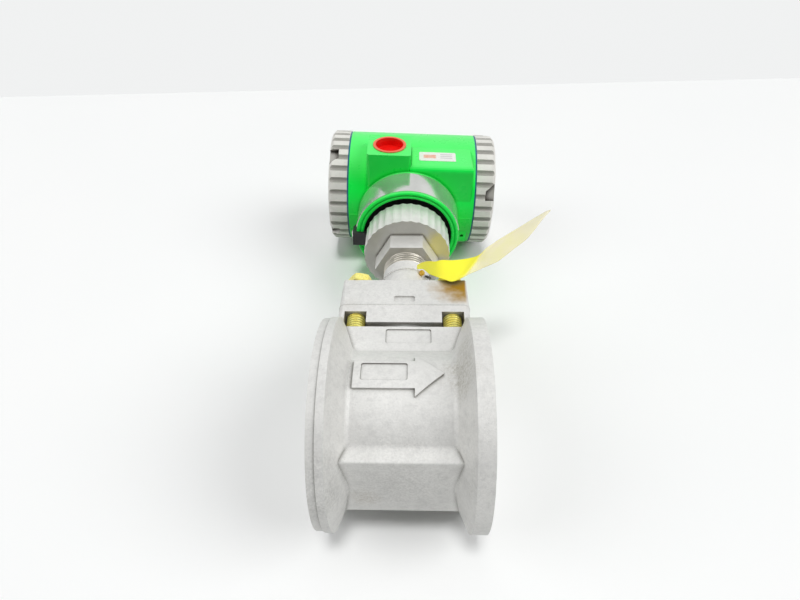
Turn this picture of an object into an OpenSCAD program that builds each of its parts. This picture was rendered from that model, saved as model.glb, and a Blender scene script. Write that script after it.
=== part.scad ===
// Wafer-body vortex flow meter with a swivelling two-compartment transmitter.
// It lies on its side: +X runs with the flow, +Y up the neck, +Z away from the bench.
// The origin is the centre of the inlet gasket face, on the pipe axis. Sizes in millimetres.

/* [Flow tube] */
// Length between the two gasket faces
face_to_face = 70; // [64:1:84]
// Diameter of the two end discs
disc_d = 91.4; // [90:0.1:104]
// Thickness of a disc at its rim
rim_t = 6.8; // [5:0.1:8]
// Length of the inlet rim machined to centre the meter
face_band = 3.5; // [2:0.1:4]
// How far the cast rim stands out past the machined band
cast_step = 0.6; // [0.5:0.1:0.8]
// Thickness of a disc where it meets the barrel
disc_root_t = 13.2; // [10:0.1:14]
// Diameter of the flow passage
bore_d = 49.2; // [46:0.1:50]
// Outside diameter of the barrel between the discs
barrel_d = 64; // [62:0.5:66]
// Radius of the blend between barrel and disc
root_fillet = 3; // [1:0.5:4]
// How far the foot's flat face stands out past the barrel
foot_rise = 0.4; // [0.2:0.1:3]
// Height of the foot's flat face
foot_h = 37.8; // [30:0.1:44]
// Radius of the blend between barrel and foot
foot_fillet = 4; // [2:0.5:6]
// How far the bonnet joint face stands out past the barrel
boss_rise = 1; // [0.5:0.1:4]
// How far the boss's sides stand back from the bonnet's
boss_inset = 1; // [0.8:0.1:3]

/* [Flow arrow and cast panels] */
// Height of the raised arrow above the barrel
arrow_rise = 1; // [0.5:0.1:2]
// Length of the arrow from tail to tip
arrow_len = 37; // [30:0.5:40]
// Length of the arrow's head
arrow_head_len = 11.8; // [9:0.1:15]
// Width of the arrow's shaft
arrow_shaft_w = 14.2; // [12:0.1:18]
// Width of the arrow's head
arrow_head_w = 21; // [18:0.1:26]
// Offset of the arrow's centre line towards the neck
arrow_shift = 0.3; // [0:0.1:5]
// Offset of the arrow's middle against the flow
arrow_back = 1.5; // [0:0.1:3]
// Length of the sunk panel on the shaft
arrow_panel_l = 19.2; // [12:0.1:22]
// Width of the sunk panel on the shaft
arrow_panel_w = 9.2; // [6:0.1:11]
// Offset of that panel from the shaft's middle
arrow_panel_shift = 1; // [0:0.1:2]
// Length of the sunk panel on the boss
boss_panel_l = 20.5; // [12:0.5:24]
// Width of the sunk panel on the boss
boss_panel_w = 8.6; // [6:0.1:10]
// Offset of that panel from the middle of the boss
boss_panel_shift = 2.2; // [0:0.1:4]
// Rim left between that panel and the joint face
boss_panel_rim = 1.6; // [1:0.1:3]
// Depth of every cast panel
panel_depth = 0.5; // [0.3:0.1:0.8]

/* [Shedder and sensor] */
// Width of the shedder's upstream face
shedder_front_w = 15; // [13:0.5:17]
// Width of the shedder's tail
shedder_tail_w = 8; // [5:0.5:10]
// Length of the shedder along the flow
shedder_len = 17; // [15:0.5:20]
// Diameter of the sensor stem
stem_d = 8; // [6:0.2:8.6]
// Length of stem held inside the shedder
stem_grip = 9; // [5:0.5:14]
// Gap between the sensor flange and the bolts
flange_gap = 1.3; // [0.8:0.1:4]
// Thickness of the sensor flange, the gap seen under the bonnet
sensor_flange_t = 2.6; // [2:0.1:4]
// Diameter of the sensor hub inside the bonnet
sensor_hub_d = 15; // [12:0.5:18]
// Height of the sensor hub
sensor_hub_h = 6; // [4:0.5:10]
// Mean diameter of the sensor gasket
gasket_d = 32; // [28:0.5:36]
// Width of the sensor gasket
gasket_w = 3.2; // [2:0.1:4]
// Thickness of the sensor gasket
gasket_t = 1.5; // [1:0.1:2]
// Diameter of the sensor lead
lead_d = 4; // [3:0.1:5]

/* [Bonnet] */
// Distance from a gasket face to the bonnet's end
bonnet_inset = 4; // [3:0.1:6]
// Height of the bonnet across the flow
bonnet_w = 54.6; // [54:0.1:58]
// Depth of the bonnet along the neck
bonnet_t = 29.4; // [24:0.1:34]
// Distance from the bonnet's joint face to its parting line
parting_t = 11; // [8:0.1:13]
// How far the cast sides draw in from the parting line
draft_in = 0.7; // [0.2:0.1:1]
// Radius of the bonnet's four upright corners
bonnet_corner = 3.5; // [2:0.1:4]
// Length of the sunk panel on the bonnet
bonnet_panel_l = 10; // [6:0.5:14]
// Width of the sunk panel on the bonnet
bonnet_panel_w = 4.4; // [3:0.1:6]
// Distance from the parting line to that panel's middle
bonnet_panel_up = 4.2; // [3:0.1:8]
// Diameter of the bonnet bolts
bolt_d = 8.8; // [7:0.1:9]
// Distance from a bolt to the bonnet's end
bolt_edge_x = 8.3; // [7.5:0.1:10]
// Distance from a bolt to the bonnet's side
bolt_edge_z = 6.2; // [6:0.1:8]
// Length of bolt held in the boss
bolt_grip = 12; // [9:0.5:13]
// Width across the flats of the bolt heads
bolt_af = 12.4; // [11.5:0.1:13]
// Height of the bolt heads
bolt_head_h = 5.3; // [4:0.1:7]
// Gap either side of a bolt in the slot that shows it
bolt_slot_gap = 0.75; // [0.5:0.05:1.2]
// Depth of those slots along the bolt
bolt_slot_h = 6.6; // [4:0.1:8]

/* [Neck] */
// Diameter of the neck tube
neck_d = 26; // [24:0.1:27]
// Bore of the neck tube
neck_bore_d = 13; // [11:0.1:14]
// Length of neck tube seen above the bonnet
neck_len = 32.5; // [26:0.5:40]
// Depth that the tube sits in the bonnet
neck_seat = 4; // [2:0.5:6]
// Reduction from the tube to the root of the neck thread
thread_step = 0.8; // [0.4:0.1:2]
// Length of thread left bare under the collar
thread_show = 7.7; // [3:0.1:10]
// Length of thread held in the collar
thread_grip = 9; // [6:0.5:10]
// Wall of the collar's hexagon at its flats
collar_hex_wall = 3.7; // [2.5:0.1:5]
// Height of the collar's hexagon
collar_hex_h = 12.2; // [11:0.1:14]
// Diameter of the fluted collar
collar_d = 51.2; // [49:0.1:52]
// Height of the fluted collar
collar_h = 18; // [13:0.5:20]
// Number of flutes round the collar
collar_flutes = 32; // [24:1:40]
// Depth of the flutes
flute_depth = 0.4; // [0.3:0.1:0.8]
// Step from the collar down to the spigot that the housing turns on
spigot_step = 3.6; // [3:0.1:5]
// Length of that spigot
spigot_len = 19.4; // [18:0.2:23]
// Section of the swivel seal ring
swivel_ring_d = 2.6; // [2:0.1:3]

/* [Housing] */
// Distance from the collar's top edge to the housing's lip
lip_gap = 1.6; // [1.2:0.1:5]
// Gap between the collar's rim and the socket's open mouth
mouth_gap = 1.6; // [1:0.1:2.5]
// Wall of the socket round its mouth
lip_t = 4.6; // [4:0.1:6]
// Depth of the socket's open mouth
mouth_depth = 6; // [4:0.5:8]
// Length of socket between lip and barrel
socket_len = 22.1; // [20:0.1:25]
// Depth of the dust seal in the mouth
dust_seal_h = 4.6; // [3:0.1:5]
// Height of the shoulder that each cap closes on
shoulder_h = 4.6; // [4:0.1:6]
// Turn of the housing about the neck, in degrees
swivel_turn = 2.4; // [0:0.1:5]
// Length of barrel on the inlet side of the neck
housing_in = 38.6; // [38:0.1:44]
// Length of barrel on the outlet side of the neck
housing_out = 42; // [41.5:0.1:48]
// Diameter of the threaded ends under the caps
cap_thread_d = 63; // [61:0.5:65]
// Length of the threaded ends
cap_thread_len = 7.6; // [6:0.1:8.4]
// Wall of the threaded ends
cap_thread_wall = 4; // [3:0.1:5]
// Thickness of the wall between the compartments
partition_t = 4; // [3:0.5:6]
// Distance from the neck axis to that wall
partition_x = 2; // [1:0.5:4]
// Diameter of the wire way from the neck
wireway_d = 16; // [12:0.5:17]
// Set-back of the flat front faces from the barrel's front
front_inset = 1.9; // [1:0.1:4]
// How far the conduit bosses stand out past the barrel
conduit_rise = 6.4; // [5:0.1:9]
// Wall of the conduit bosses along the barrel
conduit_wall_x = 3.2; // [1.8:0.1:4]
// Wall of the conduit bosses along the neck
conduit_wall_y = 2.7; // [1.8:0.1:4]
// Distance from the neck axis to the conduit axis
conduit_x = 13; // [11:0.1:14]
// Diameter of the conduit thread
conduit_d = 20.6; // [19:0.1:21.4]
// Length of the conduit thread
conduit_thread_len = 17.4; // [14:0.1:20]
// Reduction from the conduit thread to the passage behind it
conduit_step = 2.3; // [1:0.1:4]
// Barrel left between the front box and the outlet cap
box_margin = 2.5; // [1.5:0.1:6]
// Height of the front box above the parting plane
box_up = 35; // [30:0.1:36]
// Depth of the front box below the parting plane
box_down = 21.6; // [16:0.1:26]
// Radius of the front box's long edges
box_round = 3.2; // [1:0.1:5]
// Radius of the front box's corners
box_corner = 1.6; // [1:0.1:4]
// Diameter of the seal-wire hole in the box
seal_hole_d = 2.2; // [1.5:0.1:3]
// Distance from the box's end to that hole
seal_hole_edge = 2.8; // [2:0.1:7]
// Distance from the box's under side to that hole
seal_hole_up = 6.4; // [3:0.1:9]

/* [Caps] */
// Length of each cap
cap_len = 12; // [11.4:0.1:15]
// Thickness of a cap's end wall
cap_end_t = 2.8; // [2:0.1:3]
// How far a cap stands proud of the barrel
cap_proud = 0.4; // [0.2:0.1:1]
// Number of grips round a cap
cap_grips = 30; // [24:1:36]
// Depth of the grooves between grips
grip_depth = 1.2; // [0.5:0.1:1.4]
// Width of the grooves between grips
grip_groove_w = 3.6; // [1.5:0.1:4]
// Chamfer at a cap's outer edge
cap_chamfer = 2; // [1:0.1:3]
// Number of wrench notches in a cap
notch_count = 4; // [2:1:4]
// Width of a wrench notch
notch_w = 12; // [9:0.5:14]
// Depth of a wrench notch along the axis
notch_h = 6; // [4:0.1:7]
// Depth of a wrench notch from the cap's side
notch_in = 4; // [3:0.1:4.4]
// Thickness of a cap seal ring
cap_seal_t = 1; // [0.6:0.1:1.6]
// Gap between a cap seal ring and the thread
cap_seal_gap = 0.9; // [0.5:0.1:1.4]
// Set-back of a cap seal ring from the barrel
cap_seal_inset = 0.2; // [0.1:0.05:0.6]
// Turn of the inlet-side cap's notches
left_cap_turn = 60; // [0:1:89]
// Turn of the outlet-side cap's notches
right_cap_turn = 60; // [0:1:89]

/* [Fittings] */
// Length of the conduit plug
plug_len = 12; // [8:0.5:16]
// How far the plug stands out of its boss
plug_proud = 0.6; // [0.2:0.1:2]
// Depth of the plug's hollow
plug_hollow = 5; // [2:0.5:7]
// Wall of the plug's rim
plug_wall = 1.8; // [1:0.1:3]
// Thickness of the band round the socket
band_t = 0.4; // [0.2:0.1:0.8]
// Bare socket left either side of the band
band_margin = 0.4; // [0.2:0.1:3]
// Gap between the band's ends and the clip
band_gap = 2.6; // [1:0.1:5]
// Width of the retaining clip
clip_w = 9.4; // [8:0.1:11]
// Thickness of the retaining clip outside the socket
clip_t = 2.2; // [1.5:0.1:3]
// Length of the clip's leg behind the socket mouth
clip_leg = 7.8; // [7.6:0.1:10]
// Turn of the clip's leg round the socket, away from its tongue
clip_leg_turn = 8; // [0:0.5:10]
// How far the clip stands out of the lip
clip_proud = 1.4; // [0.5:0.1:2]
// Drop of the clip below the parting plane
clip_drop = 2; // [0:0.1:3]
// Diameter of the clip screw's head
clip_head_d = 6.6; // [5:0.1:7]
// Height of the clip screw's head
clip_head_h = 2; // [1:0.1:3]
// Diameter of the clip screw
clip_screw_d = 3; // [2:0.1:4]
// Length of the clip screw under its head
clip_screw_len = 7; // [5:0.5:8]
// Length of the label on the front box
label_l = 23; // [16:0.5:26]
// Width of the label on the front box
label_w = 10.8; // [6:0.1:12]
// Distance from the box's front to the label
label_set = 8.4; // [3:0.1:10]
// Shift of the label from the box's middle towards the neck
label_shift = 2.5; // [0:0.1:5]
// Thickness of the label
label_t = 0.3; // [0.1:0.05:0.5]

/* [Inside the housing] */
// Gap round the electronics module
module_gap = 1.5; // [1:0.1:4]
// Length of the electronics module
module_len = 36; // [28:0.5:40]
// Distance from the module's edge to its screws
module_screw_edge = 7; // [5:0.1:10]
// Diameter of the module screws
module_screw_d = 4; // [3:0.1:5]
// Diameter of the module screws' heads
module_head_d = 7; // [6:0.1:8]
// Height of the module screws' heads
module_head_h = 2.4; // [2:0.1:4]
// Length of the terminal block
terminal_l = 30; // [24:0.5:34]
// Width of the terminal block
terminal_w = 22; // [18:0.5:26]
// Depth of the terminal block
terminal_t = 12; // [8:0.5:14]
// Number of terminals
terminal_count = 3; // [2:1:4]
// Diameter of the terminal screws' heads
terminal_head_d = 6; // [4:0.1:7]
// Height of the terminal screws' heads
terminal_head_h = 2; // [1:0.1:3]
// Diameter of the terminal screws
terminal_screw_d = 3; // [2:0.1:4]
// Thickness of the ribs between terminals
terminal_rib_t = 1.6; // [1:0.1:2]
// Height of the ribs between terminals
terminal_rib_h = 3; // [2:0.1:5]

/* [Tag] */
// Thickness of the tag
tag_t = 0.8; // [0.5:0.1:1.2]
// Section of the tie round the neck
tie_d = 1.4; // [1:0.1:2]
// Distance from the bonnet to the tie
tie_up = 25; // [18:0.5:27]

/* [Fits] */
// Radial clearance of a screw in its tapped hole
thread_clear = 0.05; // [0.02:0.01:0.1]
// Radial clearance of a bolt in its through hole
bolt_clear = 0.25; // [0.2:0.05:0.4]
// Clearance round a piece that is set in a pocket
seat_clear = 0.05; // [0.02:0.01:0.1]
// Clearance between the bonnet's sides and the discs
bonnet_clear = 1; // [0.5:0.1:1.5]
// Radial clearance of the swivel
swivel_clear = 0.08; // [0.05:0.01:0.1]
// Clearance between faces that pass each other
run_clear = 0.3; // [0.3:0.05:0.6]

/* [Hidden] */
$fn = 96;

disc_r = disc_d / 2;
bore_r = bore_d / 2;
barrel_r = barrel_d / 2;
mid_x = face_to_face / 2;
foot_reach = barrel_r + foot_rise;
boss_reach = barrel_r + boss_rise;
bonnet_l = face_to_face - 2 * bonnet_inset;
boss_h = bonnet_w - 2 * boss_inset;
bolt_x = bonnet_l / 2 - bolt_edge_x;
bolt_z = bonnet_w / 2 - bolt_edge_z;
bolt_slot_w = bolt_d + 2 * bolt_slot_gap;
flange_r = norm([bolt_x, bolt_z]) - bolt_d / 2 - flange_gap;
over = 1;

// Stations along the neck, from the pipe axis
bonnet_y = boss_reach + sensor_flange_t;
bonnet_top = bonnet_y + bonnet_t;
neck_top = bonnet_top + neck_len;
collar_y = neck_top + thread_show;
flute_y = collar_y + collar_hex_h;
spigot_y = flute_y + collar_h;
spigot_end = spigot_y + spigot_len;
lip_y = spigot_y + lip_gap;
mouth_y = lip_y + mouth_depth;
shoulder_y = spigot_end + run_clear;
cap_thread_r = cap_thread_d / 2;
housing_r = cap_thread_r + shoulder_h;
housing_y = lip_y + socket_len + housing_r;
front_y = housing_y - housing_r + front_inset;
conduit_boss_l = conduit_d + 2 * conduit_wall_y;
conduit_y = front_y + conduit_boss_l / 2;

// Stations along the housing barrel, from the inlet face
housing_x0 = mid_x - housing_in;
housing_x1 = mid_x + housing_out;
cavity_r = cap_thread_r - cap_thread_wall;
cap_r = housing_r + cap_proud;
partition_x0 = mid_x + partition_x;
partition_x1 = partition_x0 + partition_t;
box_l = housing_out - box_margin;
box_x1 = mid_x + box_l;
conduit_boss_w = conduit_d + 2 * conduit_wall_x;
conduit_reach = housing_r + conduit_rise;
conduit_in = wireway_d / 2 + conduit_step;
module_r = cavity_r - module_gap;
module_screw_z = module_r - module_screw_edge;

// Repeated small sizes
thread_r = neck_d / 2 - thread_step;
collar_af = 2 * (thread_r + collar_hex_wall);
collar_r = collar_d / 2;
spigot_r = collar_r - spigot_step;
mouth_r = collar_r + mouth_gap;
socket_r = mouth_r + lip_t;
band_arc = 180 - 2 * asin((clip_w / 2 - clip_drop + band_gap) / socket_r);
flute_chord = 0.9 * PI * collar_d / collar_flutes;
flute_r = (flute_chord * flute_chord / 4 + flute_depth * flute_depth) / (2 * flute_depth);
grip_r = (grip_groove_w * grip_groove_w / 4 + grip_depth * grip_depth) / (2 * grip_depth);
lip_fillet = 1.2;
lip_groove_w = 1.6;
lip_groove_d = 0.7;
edge_round = 2;
foot_round = 0.8;
panel_round = 1;
ring_seat = 0.1;
tap_in = 2;
shedder_lip = 1.5;

// The tag climbs over the bolt head beside it, then bends up: offsets along the flow and upward
tag_rise = [[0, 0], [5, 8.2], [9.5, 13.4], [12.5, 14.9], [24, 15.2], [31, 17.4], [39, 22], [52, 31.5], [66, 43]];
// Outline of the tag seen from above, from its tie: along the flow and along the neck
tag_edge = [[0, -1], [3.4, -7.4], [5.9, -15.9], [9.3, -22.5], [11.7, -25.6], [14.1, -27.3], [16.5, -28.7],
            [19, -28.3], [22.1, -26.7], [26.2, -23.7], [32.3, -21.6], [39.8, -21.6], [43.6, -19.9], [48.4, -17.6],
            [53.1, -15.7], [57, -12.7], [60.1, -9.4], [64.5, -6.1], [63.5, -4.4], [54.6, -4.2], [45.2, -4.8],
            [40.4, -5.6], [35.3, -8.3], [32.1, -11.8], [24, -11.5], [17.2, -12.3], [9.5, -11.1], [1.8, 0.4], [0, 2]];
tag_reach = 100;
tag_x = 6;
tie_r = neck_d / 2 + tie_d / 2 + seat_clear;
tie_y = bonnet_top + tie_up;
tag_z = sqrt(pow(tie_r + tie_d / 2 + ring_seat, 2) - tag_x * tag_x) + tag_t;

function unit(v) = v / norm(v);
function turn_to(a, b) = let (d = b - a) d > 180 ? d - 360 : d < -180 ? d + 360 : d;

// Points of an arc of radius r that rounds the corner b between a and c
function fillet(a, b, c, r, n = 5) =
    let (u = unit(a - b), w = unit(c - b), half = acos(u * w) / 2)
    let (ctr = b + unit(u + w) * r / sin(half))
    let (p = b + u * r / tan(half) - ctr, q = b + w * r / tan(half) - ctr)
    let (a0 = atan2(p.y, p.x), da = turn_to(a0, atan2(q.y, q.x)))
    [for (i = [0 : n]) ctr + r * [cos(a0 + da * i / n), sin(a0 + da * i / n)]];

// Local Z lies along the neck, local Y downward
module along_y(y) {
    translate([mid_x, y, 0]) rotate([-90, 0, 0]) children();
}

// Local Z lies along the flow
module along_x(x, y = 0) {
    translate([x, y, 0]) rotate([0, 90, 0]) children();
}

// Turns the transmitter about the neck
module swung() {
    translate([mid_x, 0, 0]) rotate([0, swivel_turn, 0]) translate([-mid_x, 0, 0]) children();
}

// A rectangle with true round corners
module round_rect(w, h, r) {
    square([w - 2 * r, h], center = true);
    square([w, h - 2 * r], center = true);
    for (i = [-1, 1], j = [-1, 1]) translate([i * (w / 2 - r), j * (h / 2 - r)]) circle(r);
}

module ring(r_out, r_in, h) {
    difference() {
        cylinder(r = r_out, h = h);
        translate([0, 0, -over]) cylinder(r = r_in, h = h + 2 * over);
    }
}

module hex(af, h) {
    cylinder(d = af / cos(30), h = h, $fn = 6);
}

module at_bolts() {
    for (i = [-1, 1], j = [-1, 1]) translate([i * bolt_x, j * bolt_z, 0]) children();
}

// Flow tube: two coned discs and the barrel between them, turned about the flow axis
module flow_tube_profile() {
    cast_r = disc_r + cast_step;
    rim_0 = [cast_r, rim_t];
    root_0 = [barrel_r, disc_root_t];
    root_1 = [barrel_r, face_to_face - disc_root_t];
    rim_1 = [cast_r, face_to_face - rim_t];
    inlet = [[bore_r, 0], [disc_r, 0], [disc_r, face_band], [cast_r, face_band], rim_0];
    outlet = [rim_1, [cast_r, face_to_face], [bore_r, face_to_face]];
    polygon(concat(inlet, fillet(rim_0, root_0, root_1, root_fillet),
                   fillet(root_0, root_1, rim_1, root_fillet), outlet));
}

module arrow_outline() {
    tail = -arrow_len / 2;
    step = tail + arrow_len - arrow_head_len;
    polygon([[tail, -arrow_shaft_w / 2], [step, -arrow_shaft_w / 2], [step, -arrow_head_w / 2],
             [tail + arrow_len, 0], [step, arrow_head_w / 2], [step, arrow_shaft_w / 2],
             [tail, arrow_shaft_w / 2]]);
}

module flow_arrow() {
    intersection() {
        translate([mid_x - arrow_back, arrow_shift, 0]) linear_extrude(disc_r) arrow_outline();
        along_x(0) cylinder(r = barrel_r + arrow_rise, h = face_to_face);
    }
}

// The sunk panel follows the curve of the arrow's face
module arrow_panel() {
    panel_x = mid_x - arrow_back - arrow_head_len / 2;
    difference() {
        translate([panel_x, arrow_shift + arrow_panel_shift, 0])
            linear_extrude(disc_r) round_rect(arrow_panel_l, arrow_panel_w, panel_round);
        along_x(0) cylinder(r = barrel_r + arrow_rise - panel_depth, h = face_to_face);
    }
}

module boss_panel() {
    panel_y = boss_reach - boss_panel_rim - boss_panel_w / 2;
    translate([mid_x + boss_panel_shift, panel_y, boss_h / 2 - panel_depth])
        linear_extrude(over + panel_depth) round_rect(boss_panel_l, boss_panel_w, panel_round);
}

// Seat cut into the discs so that the bonnet reaches the joint face
module bonnet_pocket() {
    pocket_l = bonnet_l + 2 * bonnet_clear;
    pocket_w = bonnet_w + 2 * bonnet_clear;
    translate([mid_x - pocket_l / 2, boss_reach, -pocket_w / 2]) cube([pocket_l, disc_r, pocket_w]);
}

// Side profile of the foot block: crisp front edges, blended into the barrel at the back
module foot_block() {
    top = foot_h / 2;
    blend = foot_fillet;
    blend_y = -sqrt(pow(barrel_r + blend, 2) - pow(top + blend, 2));
    root = [blend_y, top + blend] * barrel_r / (barrel_r + blend);
    start = atan2(root.y - top - blend, root.x - blend_y);
    hollow = [for (i = [0 : 6]) [blend_y, top + blend] + blend * [cos(start + (-90 - start) * i / 6),
                                                                  sin(start + (-90 - start) * i / 6)]];
    a = [0, top];
    b = [-foot_reach, top];
    c = [-foot_reach, 0];
    upper = concat([[0, 0], [0, root.y]], hollow, fillet(a, b, c, foot_round), [c]);
    translate([rim_t, 0, 0]) rotate([90, 0, 90]) linear_extrude(face_to_face - 2 * rim_t) {
        polygon(upper);
        mirror([0, 1]) polygon(upper);
    }
}

module meter_body() {
    color([0.76, 0.76, 0.74]) difference() {
        union() {
            along_x(0) rotate_extrude() flow_tube_profile();
            foot_block();
            translate([rim_t, 0, -boss_h / 2]) cube([face_to_face - 2 * rim_t, boss_reach, boss_h]);
            flow_arrow();
        }
        along_x(-over) cylinder(r = bore_r, h = face_to_face + 2 * over);
        along_y(0) cylinder(d = stem_d + 2 * run_clear, h = boss_reach + over);
        along_y(boss_reach - gasket_t) ring(gasket_d / 2 + gasket_w / 2 + seat_clear,
                                            gasket_d / 2 - gasket_w / 2 - seat_clear, gasket_t + over);
        along_y(boss_reach - bolt_grip - over) at_bolts()
            cylinder(r = bolt_d / 2 + thread_clear, h = bolt_grip + 2 * over);
        arrow_panel();
        boss_panel();
        bonnet_pocket();
    }
}

// Bluff bar across the passage, blunt side upstream
module shedder_bar() {
    front = shedder_front_w / 2;
    tail = shedder_tail_w / 2;
    nose = -0.47 * shedder_len;
    color([0.7, 0.7, 0.7]) difference() {
        intersection() {
            along_y(-bore_r) linear_extrude(bore_d)
                polygon([[nose, -front], [nose + shedder_lip, -front], [nose + shedder_len, -tail],
                         [nose + shedder_len, tail], [nose + shedder_lip, front], [nose, front]]);
            along_x(0) cylinder(r = bore_r - seat_clear, h = face_to_face);
        }
        along_y(bore_r - stem_grip - seat_clear)
            cylinder(r = stem_d / 2 + thread_clear, h = stem_grip + bore_r);
    }
}

// Sensor: clamped flange, stem down into the shedder and hub up inside the bonnet
module vortex_sensor() {
    color([0.86, 0.86, 0.84]) along_y(0) {
        translate([0, 0, bore_r - stem_grip]) cylinder(d = stem_d, h = boss_reach - bore_r + stem_grip);
        translate([0, 0, boss_reach]) cylinder(r = flange_r, h = sensor_flange_t);
        translate([0, 0, bonnet_y]) cylinder(d = sensor_hub_d, h = sensor_hub_h);
    }
}

module sensor_gasket() {
    color([0.15, 0.15, 0.15]) along_y(boss_reach - gasket_t)
        ring(gasket_d / 2 + gasket_w / 2, gasket_d / 2 - gasket_w / 2, gasket_t);
}

// Outline of one side of the bonnet casting: it draws in both ways from the parting line
module drafted_side(w) {
    polygon([[-w / 2 + draft_in, 0], [w / 2 - draft_in, 0], [w / 2, parting_t],
             [w / 2 - draft_in, bonnet_t], [-w / 2 + draft_in, bonnet_t], [-w / 2, parting_t]]);
}

module bonnet() {
    slot_in = bolt_z - bolt_slot_w / 2;
    color([0.8, 0.8, 0.78]) difference() {
        intersection() {
            along_y(bonnet_y) linear_extrude(bonnet_t) round_rect(bonnet_l, bonnet_w, bonnet_corner);
            translate([mid_x, bonnet_y, -bonnet_w]) linear_extrude(2 * bonnet_w) drafted_side(bonnet_l);
            translate([mid_x - bonnet_l, bonnet_y, 0]) rotate([90, 0, 90])
                linear_extrude(2 * bonnet_l) rotate(-90) drafted_side(bonnet_w);
        }
        along_y(bonnet_y - over)
            cylinder(r = sensor_hub_d / 2 + run_clear, h = sensor_hub_h + run_clear + over);
        along_y(bonnet_y) cylinder(d = neck_bore_d, h = bonnet_t + over);
        along_y(bonnet_top - neck_seat) cylinder(r = neck_d / 2 + seat_clear, h = neck_seat + over);
        along_y(bonnet_y - over) at_bolts() cylinder(r = bolt_d / 2 + bolt_clear, h = bonnet_t + 2 * over);
        for (i = [-1, 1], j = [0, 1]) mirror([0, 0, j])
            translate([mid_x + i * bolt_x - bolt_slot_w / 2, bonnet_y - over, slot_in])
                cube([bolt_slot_w, bolt_slot_h + over, bonnet_w]);
        translate([mid_x, bonnet_y + parting_t + bonnet_panel_up, bonnet_w / 2 - draft_in - panel_depth])
            linear_extrude(bonnet_w) round_rect(bonnet_panel_l, bonnet_panel_w, panel_round);
    }
}

module bonnet_bolts() {
    color([0.85, 0.7, 0.3]) along_y(boss_reach - bolt_grip) at_bolts() {
        cylinder(d = bolt_d, h = bolt_grip + sensor_flange_t + bonnet_t);
        translate([0, 0, bolt_grip + sensor_flange_t + bonnet_t]) rotate(30) hex(bolt_af, bolt_head_h);
    }
}

module neck_tube() {
    color([0.82, 0.82, 0.8]) along_y(bonnet_top - neck_seat) difference() {
        union() {
            cylinder(d = neck_d, h = neck_seat + neck_len);
            translate([0, 0, neck_seat + neck_len]) cylinder(r = thread_r, h = thread_show + thread_grip);
        }
        translate([0, 0, -over])
            cylinder(d = neck_bore_d, h = neck_seat + neck_len + thread_show + thread_grip + 2 * over);
    }
}

module fluted_outline() {
    difference() {
        circle(d = collar_d);
        for (i = [0 : collar_flutes - 1]) rotate(i * 360 / collar_flutes)
            translate([collar_d / 2 - flute_depth + flute_r, 0]) circle(flute_r);
    }
}

// Collar: hexagon, fluted grip and the smooth spigot that the housing turns on
module neck_collar() {
    ring_z = collar_hex_h + collar_h + spigot_len / 2;
    color([0.62, 0.62, 0.6]) along_y(collar_y) difference() {
        union() {
            hex(collar_af, collar_hex_h);
            translate([0, 0, collar_hex_h]) linear_extrude(collar_h) fluted_outline();
            translate([0, 0, collar_hex_h + collar_h]) cylinder(r = spigot_r, h = spigot_len);
        }
        translate([0, 0, -over])
            cylinder(d = neck_bore_d, h = collar_hex_h + collar_h + spigot_len + 2 * over);
        translate([0, 0, -over]) cylinder(r = thread_r + thread_clear, h = thread_grip + seat_clear + over);
        translate([0, 0, ring_z - swivel_ring_d / 2 - ring_seat])
            ring(collar_d, spigot_r - swivel_ring_d - ring_seat, swivel_ring_d + 2 * ring_seat);
    }
}

module swivel_ring() {
    color([0.1, 0.1, 0.1]) along_y(spigot_y + spigot_len / 2) rotate_extrude()
        translate([spigot_r - swivel_ring_d / 2, 0]) circle(d = swivel_ring_d, $fn = 32);
}

module sensor_lead() {
    color([0.2, 0.2, 0.22]) along_y(bonnet_y + sensor_hub_h) cylinder(d = lead_d, h = shoulder_y - bonnet_y);
}

// Socket that drops over the collar: rounded lip with a shallow groove, turned about the neck
module socket_profile() {
    lip_in = [mouth_r, 0];
    lip_out = [socket_r, 0];
    top_out = [socket_r, socket_len + housing_r];
    mouth_in = [mouth_r, mouth_depth];
    lip_mid = (mouth_r + socket_r) / 2;
    groove = [[lip_mid - lip_groove_w / 2, 0], [lip_mid, lip_groove_d], [lip_mid + lip_groove_w / 2, 0]];
    polygon(concat([[0, mouth_depth], mouth_in], fillet(mouth_in, lip_in, lip_out, lip_fillet), groove,
                   fillet(lip_in, lip_out, top_out, lip_fillet), [top_out, [0, socket_len + housing_r]]));
}

module conduit_boss() {
    translate([mid_x - conduit_x, conduit_y, 0])
        linear_extrude(conduit_reach) round_rect(conduit_boss_w, conduit_boss_l, edge_round);
}

// Conduit thread, and the narrower passage from it into the compartment
module conduit_hole() {
    translate([mid_x - conduit_x, conduit_y, conduit_reach - conduit_thread_len])
        cylinder(d = conduit_d, h = conduit_thread_len + over);
    translate([mid_x - conduit_x, conduit_y, conduit_in])
        cylinder(r = conduit_d / 2 - conduit_step, h = conduit_reach - conduit_in);
}

// Box moulded on the front of the outlet compartment
module front_box() {
    a = [housing_r, box_up];
    b = [0, box_up];
    c = [0, -box_down];
    d = [housing_r, -box_down];
    intersection() {
        translate([mid_x, front_y, 0]) rotate([90, 0, 90]) linear_extrude(box_l)
            polygon(concat([a], fillet(a, b, c, box_round), fillet(b, c, d, box_round), [d]));
        translate([mid_x + box_l / 2, front_y + housing_r, (box_up - box_down) / 2]) rotate([90, 0, 0])
            linear_extrude(housing_r) round_rect(box_l, box_up + box_down, box_corner);
    }
}

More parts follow.
